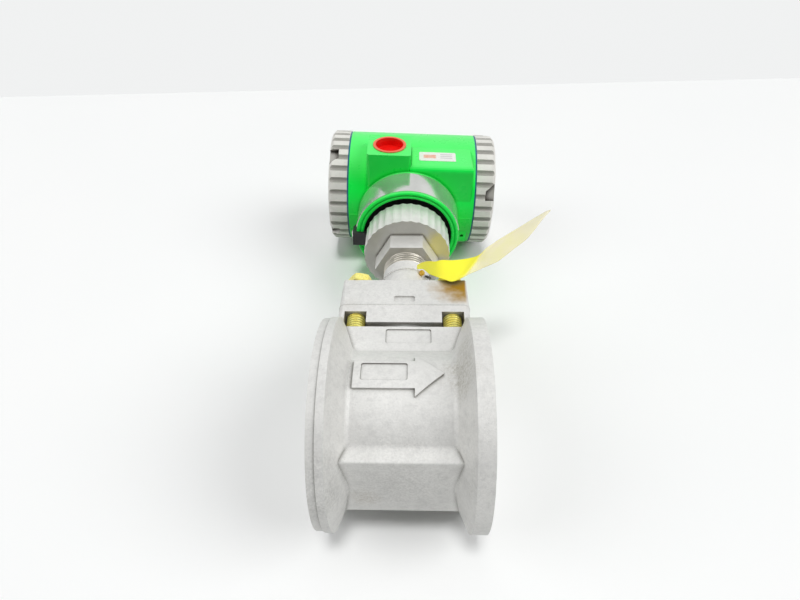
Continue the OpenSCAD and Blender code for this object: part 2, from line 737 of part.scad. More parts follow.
module housing() {
    color([0, 0.55, 0.25]) swung() difference() {
        union() {
            along_x(housing_x0, housing_y) cylinder(r = housing_r, h = housing_x1 - housing_x0);
            along_x(housing_x0 - cap_thread_len, housing_y)
                cylinder(r = cap_thread_r, h = housing_x1 - housing_x0 + 2 * cap_thread_len);
            along_y(lip_y) rotate_extrude() socket_profile();
            conduit_boss();
            mirror([0, 0, 1]) conduit_boss();
            front_box();
        }
        along_x(housing_x0 - cap_thread_len - over, housing_y)
            cylinder(r = cavity_r, h = partition_x0 - housing_x0 + cap_thread_len + over);
        along_x(partition_x1, housing_y)
            cylinder(r = cavity_r, h = housing_x1 - partition_x1 + cap_thread_len + over);
        along_y(mouth_y - over) cylinder(r = spigot_r + swivel_clear, h = shoulder_y - mouth_y + over);
        along_y(shoulder_y - over) cylinder(d = wireway_d, h = housing_y - shoulder_y - cavity_r / 2);
        conduit_hole();
        mirror([0, 0, 1]) conduit_hole();
        clip_pocket();
        clip_hole();
        translate([box_x1 - seal_hole_edge, front_y + seal_hole_up, seal_hole_up - box_down])
            rotate([90, 0, 0]) cylinder(d = seal_hole_d, h = housing_r);
        module_holes(module_screw_d / 2 + thread_clear);
    }
}

function clip_screw_y() = mouth_y + clip_leg / 2;

// Turns the clip's leg and its screw round the socket
module at_leg() {
    translate([mid_x, 0, 0]) rotate([0, -clip_leg_turn, 0]) translate([-mid_x, 0, 0]) children();
}

// Notch in the lip for the retaining clip
module clip_pocket() {
    translate([mid_x - 2 * socket_r, lip_y - over, -clip_drop - clip_w / 2 - seat_clear])
        cube([2 * socket_r - mouth_r + over, mouth_depth + over, clip_w + 2 * seat_clear]);
}

module clip_hole() {
    at_leg() along_y(clip_screw_y()) translate([0, clip_drop, 0]) rotate([0, -90, 0])
        cylinder(r = clip_screw_d / 2 + thread_clear, h = 2 * socket_r);
}

// Tongue of the clip: it reaches over the collar's rim and keeps the housing on its spigot
module clip_tongue(grow) {
    out_r = socket_r + clip_t;
    translate([mid_x - out_r - grow, lip_y - clip_proud, -clip_drop - clip_w / 2 - grow])
        cube([out_r - collar_r - run_clear + 2 * grow, clip_proud + mouth_depth + grow, clip_w + 2 * grow]);
}

// Black wiper that fills the mouth round the spigot
module dust_seal() {
    color([0.06, 0.06, 0.06]) swung() difference() {
        along_y(mouth_y - dust_seal_h)
            ring(mouth_r - seat_clear, spigot_r + swivel_clear, dust_seal_h - seat_clear);
        clip_tongue(seat_clear);
    }
}

// Tapped holes for the electronics module in the wall between the compartments
module module_holes(r) {
    for (i = [-1, 1]) translate([partition_x0 + over, housing_y, i * module_screw_z]) rotate([0, 90, 0])
        cylinder(r = r, h = partition_t + over);
}

module socket_band() {
    color([0.8, 0.82, 0.84]) swung() along_y(lip_y + band_margin + lip_fillet) rotate(-90 - band_arc / 2)
        rotate_extrude(angle = band_arc)
            translate([socket_r + seat_clear, 0]) square([band_t, socket_len - 2 * band_margin - lip_fillet]);
}

// Clip: the tongue in the lip's notch and a leg screwed to the socket's side
module retaining_clip() {
    leg_x = mid_x - socket_r - clip_t + seat_clear;
    leg_z = -clip_drop - clip_w / 2 + seat_clear;
    color([0.08, 0.08, 0.08]) swung() difference() {
        union() {
            clip_tongue(-seat_clear);
            at_leg() translate([leg_x, mouth_y - over, leg_z])
                cube([clip_t - 2 * seat_clear, clip_leg + over, clip_w - 2 * seat_clear]);
        }
        clip_hole();
    }
}

module clip_screw() {
    color([0.85, 0.85, 0.85]) swung() at_leg() along_y(clip_screw_y())
        translate([-socket_r - clip_t + seat_clear, clip_drop, 0]) {
            rotate([0, -90, 0]) cylinder(d = clip_head_d, h = clip_head_h);
            rotate([0, 90, 0]) cylinder(d = clip_screw_d, h = clip_screw_len);
        }
}

module housing_label() {
    label_y = front_y + label_set + label_w / 2;
    color([0.95, 0.95, 0.93]) swung() translate([mid_x + box_l / 2 - label_shift, label_y, box_up])
        linear_extrude(label_t) round_rect(label_l, label_w, panel_round);
}

module conduit_plug() {
    plug_r = conduit_d / 2 - swivel_clear;
    top = conduit_reach + plug_proud;
    color([0.85, 0.08, 0.05]) swung() translate([mid_x - conduit_x, conduit_y, top - plug_len]) difference() {
        cylinder(r = plug_r, h = plug_len);
        translate([0, 0, plug_len - plug_hollow]) cylinder(r = plug_r - plug_wall, h = plug_hollow + over);
    }
}

module electronics_module() {
    color([0.12, 0.16, 0.2]) swung() along_x(partition_x1, housing_y) difference() {
        cylinder(r = module_r, h = module_len);
        for (i = [-1, 1]) translate([i * module_screw_z, 0, -over])
            cylinder(r = module_screw_d / 2 + bolt_clear, h = module_len + 2 * over);
    }
}

module module_screws() {
    color([0.8, 0.8, 0.78]) swung() for (i = [-1, 1]) translate([0, housing_y, i * module_screw_z]) {
        translate([partition_x0 + tap_in, 0, 0]) rotate([0, 90, 0])
            cylinder(d = module_screw_d, h = partition_t - tap_in + module_len);
        translate([partition_x1 + module_len, 0, 0]) rotate([0, 90, 0])
            cylinder(d = module_head_d, h = module_head_h);
    }
}

function terminal_z(i) = (i - (terminal_count - 1) / 2) * terminal_l / terminal_count;

module terminal_block() {
    color([0.1, 0.1, 0.1]) swung() difference() {
        union() {
            translate([partition_x0 - terminal_t, housing_y - terminal_w / 2, -terminal_l / 2])
                cube([terminal_t, terminal_w, terminal_l]);
            for (i = [0 : terminal_count])
                translate([partition_x0 - terminal_t - terminal_rib_h, housing_y - terminal_w / 2,
                           (i / terminal_count - 0.5) * (terminal_l - terminal_rib_t) - terminal_rib_t / 2])
                    cube([terminal_rib_h + over, terminal_w, terminal_rib_t]);
        }
        for (i = [0 : terminal_count - 1])
            translate([partition_x0 - terminal_t - over, housing_y, terminal_z(i)])
                rotate([0, 90, 0]) cylinder(r = terminal_screw_d / 2 + thread_clear, h = terminal_t);
    }
}

module terminal_screws() {
    color([0.8, 0.75, 0.55]) swung() for (i = [0 : terminal_count - 1])
        translate([partition_x0 - terminal_t, housing_y, terminal_z(i)]) {
            rotate([0, -90, 0]) cylinder(d = terminal_head_d, h = terminal_head_h);
            rotate([0, 90, 0]) cylinder(d = terminal_screw_d, h = terminal_t - 2 * over);
        }
}

module cap_seal() {
    ring(housing_r - cap_seal_inset, cap_thread_r + cap_seal_gap, cap_seal_t);
}

// One wrench notch: a steep wall to push on and a ramp behind it
module wrench_notch() {
    translate([0, 0, cap_len]) rotate([90, 0, 90]) translate([0, 0, cap_r - notch_in])
        linear_extrude(notch_in + over)
            polygon([[notch_w / 2, over], [notch_w / 2, -notch_h], [0, -notch_h], [-notch_w / 2, over]]);
}

// Cap in its own frame: open end at z = 0, closed end at z = cap_len
module cap(turn) {
    side = cap_r;
    difference() {
        intersection() {
            linear_extrude(cap_len) difference() {
                circle(r = side);
                for (i = [0 : cap_grips - 1]) rotate((i + 0.5) * 360 / cap_grips)
                    translate([side - grip_depth + grip_r, 0]) circle(grip_r, $fn = 32);
            }
            union() {
                cylinder(r = side + over, h = cap_len - cap_chamfer);
                translate([0, 0, cap_len - cap_chamfer])
                    cylinder(r1 = side, r2 = side - cap_chamfer, h = cap_chamfer);
            }
        }
        translate([0, 0, -over]) cylinder(r = cap_thread_r + run_clear, h = cap_len - cap_end_t + over);
        for (i = [0 : notch_count - 1]) rotate(turn + i * 360 / notch_count) wrench_notch();
    }
}

module left_cap() {
    color([0.62, 0.61, 0.58]) swung() translate([housing_x0 - cap_seal_t, housing_y, 0])
        rotate([0, -90, 0]) cap(left_cap_turn);
}

module right_cap() {
    color([0.62, 0.61, 0.58]) swung() along_x(housing_x1 + cap_seal_t, housing_y) cap(right_cap_turn);
}

module left_cap_seal() {
    color([0.05, 0.3, 0.45]) swung() along_x(housing_x0 - cap_seal_t, housing_y) cap_seal();
}

module right_cap_seal() {
    color([0.05, 0.3, 0.45]) swung() along_x(housing_x1, housing_y) cap_seal();
}

module tag() {
    n = len(tag_rise) - 1;
    strip = concat(tag_rise, [for (i = [n : -1 : 0]) tag_rise[i] - [0, tag_t]]);
    color([1, 0.9, 0.1]) translate([mid_x + tag_x, tie_y, tag_z]) intersection() {
        rotate([90, 0, 0]) translate([0, 0, -tag_reach / 2]) linear_extrude(tag_reach) polygon(strip);
        translate([0, 0, -tag_reach / 2]) linear_extrude(tag_reach) polygon(tag_edge);
    }
}

module tag_tie() {
    color([0.9, 0.9, 0.85]) along_y(tie_y) rotate_extrude() translate([tie_r, 0]) circle(d = tie_d, $fn = 24);
}

meter_body();
shedder_bar();
vortex_sensor();
sensor_gasket();
bonnet();
bonnet_bolts();
neck_tube();
neck_collar();
swivel_ring();
sensor_lead();
housing();
dust_seal();
socket_band();
retaining_clip();
clip_screw();
housing_label();
conduit_plug();
electronics_module();
module_screws();
terminal_block();
terminal_screws();
left_cap_seal();
right_cap_seal();
left_cap();
right_cap();
tag();
tag_tie();
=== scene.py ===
import math

import bmesh
import bpy
from mathutils import Matrix, Vector


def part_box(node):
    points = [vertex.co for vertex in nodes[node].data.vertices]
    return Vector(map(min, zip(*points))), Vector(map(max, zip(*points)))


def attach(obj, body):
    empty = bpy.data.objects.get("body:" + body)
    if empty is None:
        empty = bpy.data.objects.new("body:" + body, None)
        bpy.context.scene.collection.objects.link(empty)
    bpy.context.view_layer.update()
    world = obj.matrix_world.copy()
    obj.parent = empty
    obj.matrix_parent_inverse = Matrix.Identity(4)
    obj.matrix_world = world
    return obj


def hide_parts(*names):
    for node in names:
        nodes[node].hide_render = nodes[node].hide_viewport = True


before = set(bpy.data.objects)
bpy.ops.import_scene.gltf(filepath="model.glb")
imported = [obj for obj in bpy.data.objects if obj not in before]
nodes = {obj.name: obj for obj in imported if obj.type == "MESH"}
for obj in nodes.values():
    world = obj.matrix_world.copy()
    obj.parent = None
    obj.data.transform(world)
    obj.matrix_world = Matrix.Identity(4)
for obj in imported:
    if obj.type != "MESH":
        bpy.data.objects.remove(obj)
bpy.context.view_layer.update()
scene = bpy.context.scene
scene.view_settings.view_transform = "Standard"

MM = 0.001
TURN = 2 * math.pi
ALONG_X = Vector((1, 0, 0))
ALONG_Y = Vector((0, 1, 0))

# Stations shared with the solids, in millimetres: X runs along the pipe, Y up the neck
MID_X, HALF_FACE = 35.0, 35.0
BOSS_Y, PARTING_Y, BONNET_PANEL_Y, BONNET_TOP = 33.0, 46.6, 50.8, 65.0
BONNET_HALF_X, BONNET_HALF_Z, BONNET_CORNER = 31.0, 27.3, 3.5
BOLT_X, BOLT_Z, BOLT_R = 22.7, 21.1, 4.4
NECK_TOP, COLLAR_Y, COLLAR_FACE_Y = 97.5, 105.2, 117.4
SOCKET_MOUTH_Y, HOUSING_Y = 143.0, 195.2
HOUSING_R, SOCKET_R, THREAD_R = 36.1, 31.8, 31.5
HOUSING_LEFT, HOUSING_RIGHT = 38.6, 42.0
CONDUIT_Y, CONDUIT_X, CONDUIT_REACH = 174.0, 13.0, 42.5
SWING = math.radians(2.4)

# The tag: where its near end is held, and its crease measured from there
TIE_Y, TAG_Z = 90.0, 14.05
TAG_X = MID_X + 6.0
CREASE_X, CREASE_Y = 28.5, -17.0
CREASE_RUN, CREASE_DROP = 0.83, 0.56


def swung(x, y, z):
    """A point of the transmitter, measured from the neck axis before the swing, in the part's frame."""
    c, s = math.cos(SWING), math.sin(SWING)
    return Vector((MID_X + x * c + z * s, y, z * c - x * s))


def swung_way(x, z):
    """A direction of the transmitter, given before the swing."""
    return swung(x, 0, z) - swung(0, 0, 0)


# Shader helpers

class Mat:
    """A Principled material built from procedural nodes, in object coordinates."""

    def __init__(self, name, color, rough=0.5, metal=0.0, **sockets):
        self.m = bpy.data.materials.new(name)
        self.m.use_nodes = True
        self.nt = self.m.node_tree
        self.bsdf = self.nt.nodes["Principled BSDF"]
        self.set("Base Color", (*color, 1.0))
        self.set("Roughness", rough)
        self.set("Metallic", metal)
        for key, value in sockets.items():
            self.set(key.replace("_", " "), value)
        self.coord = self.node("ShaderNodeTexCoord").outputs["Object"]
        self.normal = None

    def set(self, socket, value):
        """Sets one of the shader's own sockets to a constant."""
        self.bsdf.inputs[socket].default_value = value

    def node(self, kind, **props):
        """Adds a node and sets its properties."""
        added = self.nt.nodes.new(kind)
        for key, value in props.items():
            setattr(added, key, value)
        return added

    def link(self, source, target):
        self.nt.links.new(source, target)

    def put(self, socket, value):
        """Sets or links an input socket."""
        if isinstance(value, (int, float)):
            socket.default_value = value
        elif isinstance(value, (tuple, list)):
            socket.default_value = value if len(value) == len(socket.default_value) else (*value, 1.0)
        else:
            self.link(value, socket)

    def noise(self, scale, detail=3.0, rough=0.55, stretch=None):
        """Noise with about scale lumps to the metre, squeezed along each axis by stretch."""
        noise = self.node("ShaderNodeTexNoise")
        noise.inputs["Scale"].default_value = scale
        noise.inputs["Detail"].default_value = detail
        noise.inputs["Roughness"].default_value = rough
        source = self.coord
        if stretch:
            mapping = self.node("ShaderNodeMapping")
            mapping.inputs["Scale"].default_value = stretch
            self.link(source, mapping.inputs["Vector"])
            source = mapping.outputs["Vector"]
        self.link(source, noise.inputs["Vector"])
        return noise.outputs["Fac"]

    def remap(self, value, a, b, lo=0.0, hi=1.0, smooth=True):
        """Takes a value from the range a to b into the range lo to hi."""
        ramp = self.node("ShaderNodeMapRange", interpolation_type="SMOOTHSTEP" if smooth else "LINEAR")
        self.put(ramp.inputs["Value"], value)
        ramp.inputs["From Min"].default_value = a
        ramp.inputs["From Max"].default_value = b
        ramp.inputs["To Min"].default_value = lo
        ramp.inputs["To Max"].default_value = hi
        return ramp.outputs["Result"]

    def math(self, operation, a, b=0.0):
        result = self.node("ShaderNodeMath", operation=operation)
        self.put(result.inputs[0], a)
        self.put(result.inputs[1], b)
        return result.outputs[0]

    def plus(self, a, b):
        return self.math("ADD", a, b)

    def minus(self, a, b):
        return self.math("SUBTRACT", a, b)

    def times(self, a, b):
        return self.math("MULTIPLY", a, b)

    def distance(self, a, b):
        """Length of the long side of a right triangle."""
        return self.math("SQRT", self.plus(self.times(a, a), self.times(b, b)))

    def mix(self, share, a, b):
        """Goes from colour a to colour b."""
        mixer = self.node("ShaderNodeMix", data_type="RGBA", blend_type="MIX")
        self.put(mixer.inputs[0], share)
        self.put(mixer.inputs[6], a)
        self.put(mixer.inputs[7], b)
        return mixer.outputs[2]

    def xyz(self, vector=None):
        split = self.node("ShaderNodeSeparateXYZ")
        self.link(vector or self.coord, split.inputs[0])
        return split.outputs

    def facing(self, axis):
        """How squarely a face looks along +x, +y or +z, from -1 to 1."""
        normal = self.node("ShaderNodeNewGeometry").outputs["True Normal"]
        return self.xyz(normal)["xyz".index(axis)]

    def bump(self, height, strength, depth):
        """Adds a layer of bump over those already there."""
        layer = self.node("ShaderNodeBump")
        layer.inputs["Strength"].default_value = strength
        layer.inputs["Distance"].default_value = depth
        self.link(height, layer.inputs["Height"])
        if self.normal:
            self.link(self.normal, layer.inputs["Normal"])
        self.normal = layer.outputs["Normal"]
        self.link(self.normal, self.bsdf.inputs["Normal"])

    def color(self, value):
        self.put(self.bsdf.inputs["Base Color"], value)

    def rough(self, value):
        self.put(self.bsdf.inputs["Roughness"], value)

    def spot(self, centre, radius, soft):
        """1 inside a ball round a point given in millimetres, with a ragged edge."""
        size = radius * MM
        ragged, outer = 0.9, 1.45
        away = self.node("ShaderNodeVectorMath", operation="DISTANCE")
        self.link(self.coord, away.inputs[0])
        away.inputs[1].default_value = [c * MM for c in centre]
        edge = self.plus(away.outputs["Value"], self.times(self.noise(160, 4), size * ragged))
        return self.remap(edge, size * (outer - soft), size * outer, 1.0, 0.0)

    def crevice(self, reach, lo=0.45, hi=0.95, alone=True):
        """1 in tight inner corners, of the same solid alone or of its neighbours too, 0 in the open; the
        materials paint shade into corners with it.
        """
        occlusion = self.node("ShaderNodeAmbientOcclusion", samples=6, only_local=alone)
        occlusion.inputs["Distance"].default_value = reach * MM
        return self.remap(occlusion.outputs["AO"], lo, hi, 1.0, 0.0)


def shade(tint, factor):
    """A colour made darker or lighter, up to white."""
    return [min(1.0, c * factor) for c in tint]


def cast_steel(name, tint, stains=(), painted_tag_patches=(), less_soil_and_shade=(), soil_and_shade=0.85, reach=2.4, alone=True):
    """Blasted casting: sandy grain, broad mottling, soiling and painted shade in the corners, stains, and
    painted patches of the tag's amber shadow on top faces.
    """
    m = Mat(name, tint, 0.55, 0.35)
    grain = m.noise(1050, 3, 0.65)
    col = m.mix(m.remap(m.noise(30, 4, 0.6), 0.3, 0.72), shade(tint, 0.94), shade(tint, 1.04))
    col = m.mix(m.remap(grain, 0.3, 0.7, 0.0, 0.5), col, shade(tint, 0.86))
    col = m.mix(m.remap(m.noise(2100, 2, 0.6), 0.62, 0.76, 0.0, 0.45), col, shade(tint, 0.55))
    blotch = m.plus(m.noise(330, 4, 0.7), m.times(m.noise(75, 3), 0.4))
    col = m.mix(m.remap(blotch, 0.6, 0.95, 0.0, 0.28), col, shade(tint, 0.6))
    # Painted amber shadow of the tag, put on the top faces under it.
    for centre, radius, amount, hue in painted_tag_patches:
        upward = m.remap(m.facing("z"), 0.6, 0.95, 0.0, amount)
        col = m.mix(m.times(m.spot(centre, radius, 0.8), upward), col, hue)
    for centre, radius, amount, hue in stains:
        specks = m.plus(m.noise(900, 4, 0.75), m.times(m.noise(70, 3), 0.3))
        mask = m.times(m.spot(centre, radius, 0.8), m.remap(specks, 0.45, 0.95))
        col = m.mix(m.times(mask, amount), col, hue)
    # Painted shade in the corners, which also stands for soiling; less of it on the given spots.
    soil_and_shade_mask = m.times(m.crevice(reach, 0.45, 0.97, alone), soil_and_shade)
    for centre, radius in less_soil_and_shade:
        soil_and_shade_mask = m.times(soil_and_shade_mask, m.remap(m.spot(centre, radius, 0.4), 0.0, 1.0, 1.0, 0.3))
    m.color(m.mix(soil_and_shade_mask, col, (0.13, 0.12, 0.1)))
    m.rough(m.remap(m.noise(240, 4), 0.25, 0.8, 0.48, 0.62))
    m.bump(grain, 0.3, 0.0004)
    m.bump(m.noise(170, 3), 0.1, 0.0009)
    return m


def machined(name, tint, rough, axis, metal=1.0, soil_and_shade=0.0, painted_tag_patches=()):
    """Turned steel: fine rings round an axis. Its corners get painted shade that also stands for soiling, the
    faces that look back along the axis get painted shade, and those faces can carry a painted reflection of
    the tag.
    """
    m = Mat(name, tint, rough, metal)
    lines = m.noise(1.0, 3, 0.6, stretch=[2600 if axis == way else 40 for way in "xyz"])
    col = m.mix(m.remap(m.noise(120, 4), 0.3, 0.75), shade(tint, 0.88), tint)
    if soil_and_shade:
        # Painted shade in the corners, which also stands for soiling, then painted shade on the faces that
        # look back along the axis.
        col = m.mix(m.times(m.crevice(2.0, 0.5, 0.97), soil_and_shade), col, (0.1, 0.085, 0.06))
        col = m.mix(m.remap(m.facing(axis), -0.995, -0.9, 0.45, 0.0), col, (0.3, 0.29, 0.26))
    # A painted reflection of the tag on those faces.
    for centre, radius, amount, hue in painted_tag_patches:
        front = m.remap(m.facing(axis), -0.95, -0.3, amount, 0.0)
        col = m.mix(m.times(m.spot(centre, radius, 0.7), front), col, hue)
    m.color(col)
    m.rough(m.remap(lines, 0.2, 0.8, rough * 0.75, rough * 1.4))
    m.bump(lines, 0.08, 0.0002)
    return m


def plastic(name, tint, rough, grain=700, depth=0.08, **sockets):
    """Moulded plastic or rubber with a fine grain."""
    m = Mat(name, tint, rough, 0.0, **sockets)
    m.color(m.mix(m.remap(m.noise(60, 4), 0.3, 0.7), shade(tint, 0.85), shade(tint, 1.1)))
    m.rough(m.remap(m.noise(150, 3), 0.3, 0.7, rough * 0.85, rough * 1.2))
    m.bump(m.noise(grain, 2), depth, 0.0003)
    return m


# Materials of single pieces

def green_paint():
    """Glossy paint with a few specks, a painted pale sheen on top faces and painted shade in its corners."""
    m = Mat("green_paint", (0.006, 0.94, 0.085), 0.3, 0.0, Specular_IOR_Level=0.35)
    col = m.mix(m.remap(m.noise(24, 3), 0.3, 0.7), (0.004, 0.96, 0.075), (0.009, 1.0, 0.1))
    specks = m.remap(m.noise(420, 5, 0.7), 0.64, 0.8, 0.0, 0.1)
    col = m.mix(specks, col, (0.25, 0.75, 0.32))
    # A painted sheen: top faces made paler mint, standing for the bright light on them.
    painted_top_sheen = m.remap(m.facing("z"), 0.5, 0.95, 0.0, 0.14)
    col = m.mix(painted_top_sheen, col, (0.6, 1.0, 0.7))
    # Painted shade in the corners.
    m.color(m.mix(m.times(m.crevice(2.5), 0.5), col, (0.0, 0.12, 0.02)))
    m.rough(m.remap(m.noise(90, 3), 0.3, 0.7, 0.26, 0.36))
    m.bump(m.noise(520, 2), 0.05, 0.0004)
    return m


def die_cast():
    """Bare cast alloy of the caps, with painted shade in the grooves between the grips and in its corners."""
    groove_floor, grip_top = HOUSING_R - 0.7, HOUSING_R + 0.25
    m = Mat("bare_die_cast", (0.62, 0.61, 0.57), 0.55, 0.3)
    col = m.mix(m.remap(m.noise(55, 4, 0.6), 0.3, 0.7), (0.78, 0.77, 0.72), (0.87, 0.86, 0.81))
    col = m.mix(m.remap(m.noise(900, 3), 0.6, 0.78, 0.0, 0.25), col, (0.3, 0.29, 0.26))
    # Painted shade in the grooves between the grips: darker towards the groove floor, on the grips' round
    # faces only.
    x, y, z = m.xyz()
    swing_lift = m.times(m.minus(x, MID_X * MM), math.sin(SWING))
    above = m.plus(swing_lift, m.times(z, math.cos(SWING)))
    from_axis = m.distance(above, m.minus(y, HOUSING_Y * MM))
    groove = m.remap(from_axis, groove_floor * MM, grip_top * MM, 0.52, 0.0)
    side = m.remap(m.math("ABSOLUTE", m.facing("x")), 0.3, 0.6, 1.0, 0.0)
    col = m.mix(m.times(groove, side), col, (0.2, 0.19, 0.165))
    # Painted shade in the corners.
    m.color(m.mix(m.times(m.crevice(3.4, 0.5, 0.98), 0.97), col, (0.06, 0.052, 0.04)))
    m.rough(m.remap(m.noise(130, 4), 0.3, 0.7, 0.48, 0.62))
    m.bump(m.noise(900, 3), 0.1, 0.0003)
    return m


def yellow_zinc():
    """Yellow plating on the bolts, with painted shade between the turns of their threads."""
    m = Mat("yellow_zinc", (0.98, 0.88, 0.25), 0.34, 0.22)
    col = m.mix(m.remap(m.noise(260, 3), 0.32, 0.68), (1.0, 0.86, 0.17), (0.98, 0.94, 0.3))
    # Painted shade between the thread turns, kept off the heads above the bonnet's top.
    shank = m.times(m.math("LESS_THAN", m.xyz()[1], BONNET_TOP * MM), 0.88)
    m.color(m.mix(m.times(m.crevice(1.2, 0.35, 0.9), shank), col, (0.09, 0.055, 0.01)))
    m.rough(m.remap(m.noise(400, 3), 0.3, 0.7, 0.24, 0.4))
    m.bump(m.noise(1500, 2), 0.05, 0.0002)
    return m


def foil():
    """Bright band with a slightly wavy surface."""
    m = Mat("bright_foil", (0.7, 0.7, 0.68), 0.1, 0.75)
    m.color(m.mix(m.remap(m.noise(45, 3), 0.3, 0.7), (0.62, 0.62, 0.6), (0.76, 0.76, 0.74)))
    m.rough(m.remap(m.noise(260, 4), 0.3, 0.7, 0.12, 0.22))
    m.bump(m.noise(70, 2), 0.1, 0.001)
    m.bump(m.noise(420, 2), 0.04, 0.0003)
    return m


def label_stock():
    """Plain white stock with a coloured bar and grey ruled lines."""
    m = Mat("white_label", (0.9, 0.9, 0.87), 0.5)
    x, y, _ = m.xyz()
    lo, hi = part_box("housing_label")
    u = m.remap(x, lo.x, hi.x, 0.0, 1.0, smooth=False)
    v = m.remap(y, lo.y, hi.y, 0.0, 1.0, smooth=False)
    col = m.mix(m.remap(m.noise(900, 4), 0.3, 0.7), (0.84, 0.84, 0.8), (0.93, 0.93, 0.9))

    def within(value, a, b):
        return m.times(m.math("GREATER_THAN", value, a), m.math("LESS_THAN", value, b))

    bar = m.times(within(u, 0.12, 0.46), within(v, 0.3, 0.7))
    worn = m.remap(m.noise(500, 3), 0.3, 0.7, 0.55, 0.85)
    col = m.mix(m.times(bar, worn), col, (0.85, 0.3, 0.16))
    rows = m.math("GREATER_THAN", m.math("FRACT", m.times(v, 5.0)), 0.6)
    rows = m.times(rows, m.times(within(u, 0.58, 0.9), within(v, 0.2, 0.8)))
    m.color(m.mix(m.times(rows, 0.55), col, (0.3, 0.3, 0.32)))
    m.rough(m.remap(m.noise(200, 3), 0.3, 0.7, 0.42, 0.58))
    m.bump(m.noise(1500, 2), 0.04, 0.0002)
    return m


def tag_film():
    """Fluorescent film with a faint painted glow: saturated up to its crease, pale and nearly clear beyond
    it.
    """
    palest_from, palest_to = 85.0, 104.0
    m = Mat("yellow_film", (0.98, 0.93, 0.04), 0.4, 0.0, Specular_IOR_Level=0.2, Subsurface_Weight=0.15)
    m.set("Subsurface Radius", (0.03, 0.03, 0.004))
    # A faint painted glow: the film gives off light of its own, lamps or not.
    m.set("Emission Color", (1.0, 0.92, 0.4, 1.0))
    m.set("Emission Strength", 0.1)
    x, y, _ = m.xyz()
    run = m.times(m.minus(x, (TAG_X + CREASE_X) * MM), CREASE_RUN)
    drop = m.times(m.minus(y, (TIE_Y + CREASE_Y) * MM), CREASE_DROP)
    uneven = m.times(m.minus(m.noise(90, 3), 0.5), 0.002)
    past = m.plus(m.minus(run, drop), uneven)
    bright = m.mix(m.remap(m.noise(90, 4), 0.35, 0.75), (1.0, 0.97, 0.02), (1.0, 0.93, 0.02))
    pale = m.mix(m.remap(m.noise(130, 4), 0.35, 0.7), (1.0, 0.93, 0.42), (1.0, 0.9, 0.52))
    pale = m.mix(m.remap(x, palest_from * MM, palest_to * MM), pale, (1.0, 0.93, 0.62))
    crease = m.remap(past, -0.0008, 0.0016)
    m.color(m.mix(crease, bright, pale))
    m.put(m.bsdf.inputs["Alpha"], m.remap(crease, 0.0, 1.0, 0.97, 0.45))
    m.rough(m.remap(m.noise(200, 3), 0.3, 0.7, 0.34, 0.5))
    m.bump(m.noise(140, 3), 0.12, 0.0006)
    m.bump(m.noise(900, 2), 0.05, 0.0002)
    return m


def red_plastic():
    """Moulded red plastic, with a painted highlight on the plug's thin rim."""
    rim_in, rim_out = 8.2, 9.2
    rim_foot, rim_head = CONDUIT_REACH - 1.2, CONDUIT_REACH - 0.5
    m = plastic("red_plastic", (0.9, 0.009, 0.006), 0.36, 300, 0.05, Specular_IOR_Level=0.3)
    red = m.bsdf.inputs["Base Color"].links[0].from_socket
    # Painted highlight: the rim's outer edge paler orange-red, most towards its top.
    x, y, z = m.xyz()
    mouth = swung(-CONDUIT_X, CONDUIT_Y, CONDUIT_REACH) * MM
    from_axis = m.distance(m.minus(x, mouth.x), m.minus(y, mouth.y))
    outer = m.remap(from_axis, rim_in * MM, rim_out * MM)
    rim = m.times(outer, m.remap(z, rim_foot * MM, rim_head * MM, 0.0, 0.9))
    m.color(m.mix(rim, red, (0.95, 0.2, 0.1)))
    return m


def amber_band():
    """Amber rubber of the tie's knot, which lets a little light in."""
    m = Mat("amber_rubber", (0.86, 0.5, 0.05), 0.35, 0.0, Subsurface_Weight=0.3)
    m.set("Subsurface Radius", (0.002, 0.0012, 0.0003))
    m.color(m.mix(m.remap(m.noise(300, 3), 0.3, 0.7), (0.8, 0.42, 0.03), (0.92, 0.62, 0.08)))
    m.rough(m.remap(m.noise(500, 3), 0.3, 0.7, 0.28, 0.45))
    m.bump(m.noise(900, 2), 0.1, 0.0002)
    return m


def gasket_face(m):
    """Fine concentric serrations on the two end faces."""
    pitch, skin = 0.8, 0.5
    x, y, z = m.xyz()
    wave = m.math("SINE", m.times(m.distance(y, z), TURN / (pitch * MM)))
    end = m.remap(m.math("ABSOLUTE", m.facing("x")), 0.985, 0.998)
    from_middle = m.math("ABSOLUTE", m.minus(x, MID_X * MM))
    outer = m.math("GREATER_THAN", from_middle, (HALF_FACE - skin) * MM)
    m.bump(m.times(wave, m.times(end, outer)), 0.35, 0.0002)


BROWN = (0.3, 0.22, 0.11)
OLIVE = (0.3, 0.27, 0.18)
GREY = (0.34, 0.335, 0.31)

# Centre and radius in millimetres, with strength and colour too for a stain or for the tag's painted shadow
# and reflection
BODY_STAINS = (
    ((61, -4, 37), 14, 0.6, OLIVE), ((62, 10, 38), 9, 0.4, OLIVE), ((4, -37, 22), 13, 0.3, GREY),
    ((5, -42, 8), 14, 0.4, GREY), ((66, -40, 16), 12, 0.35, GREY), ((35, -32, 4), 30, 0.42, GREY),
    ((57, 4, 32), 8, 0.4, OLIVE), ((20, -32, -8), 9, 0.3, BROWN),
)
BONNET_STAINS = (((10, 46, 27), 7, 0.2, BROWN),)
# A painted amber shadow of the tag on the bonnet's top face, and a spot on its panel that gets less soiling
# and painted shade.
BONNET_TAG_SHADOW = ((62, 61, BONNET_HALF_Z), 17, 1.0, (0.4, 0.22, 0.008))
BONNET_PANEL = ((MID_X, BONNET_PANEL_Y, BONNET_HALF_Z), 10)
# A painted reflection of the tag on the collar's front face.
COLLAR_TAG_REFLECTION = ((56, COLLAR_FACE_Y, 9), 16, 0.75, (0.9, 0.8, 0.24))

body_steel = cast_steel("cast_stainless_body", (0.88, 0.875, 0.85), BODY_STAINS)
gasket_face(body_steel)
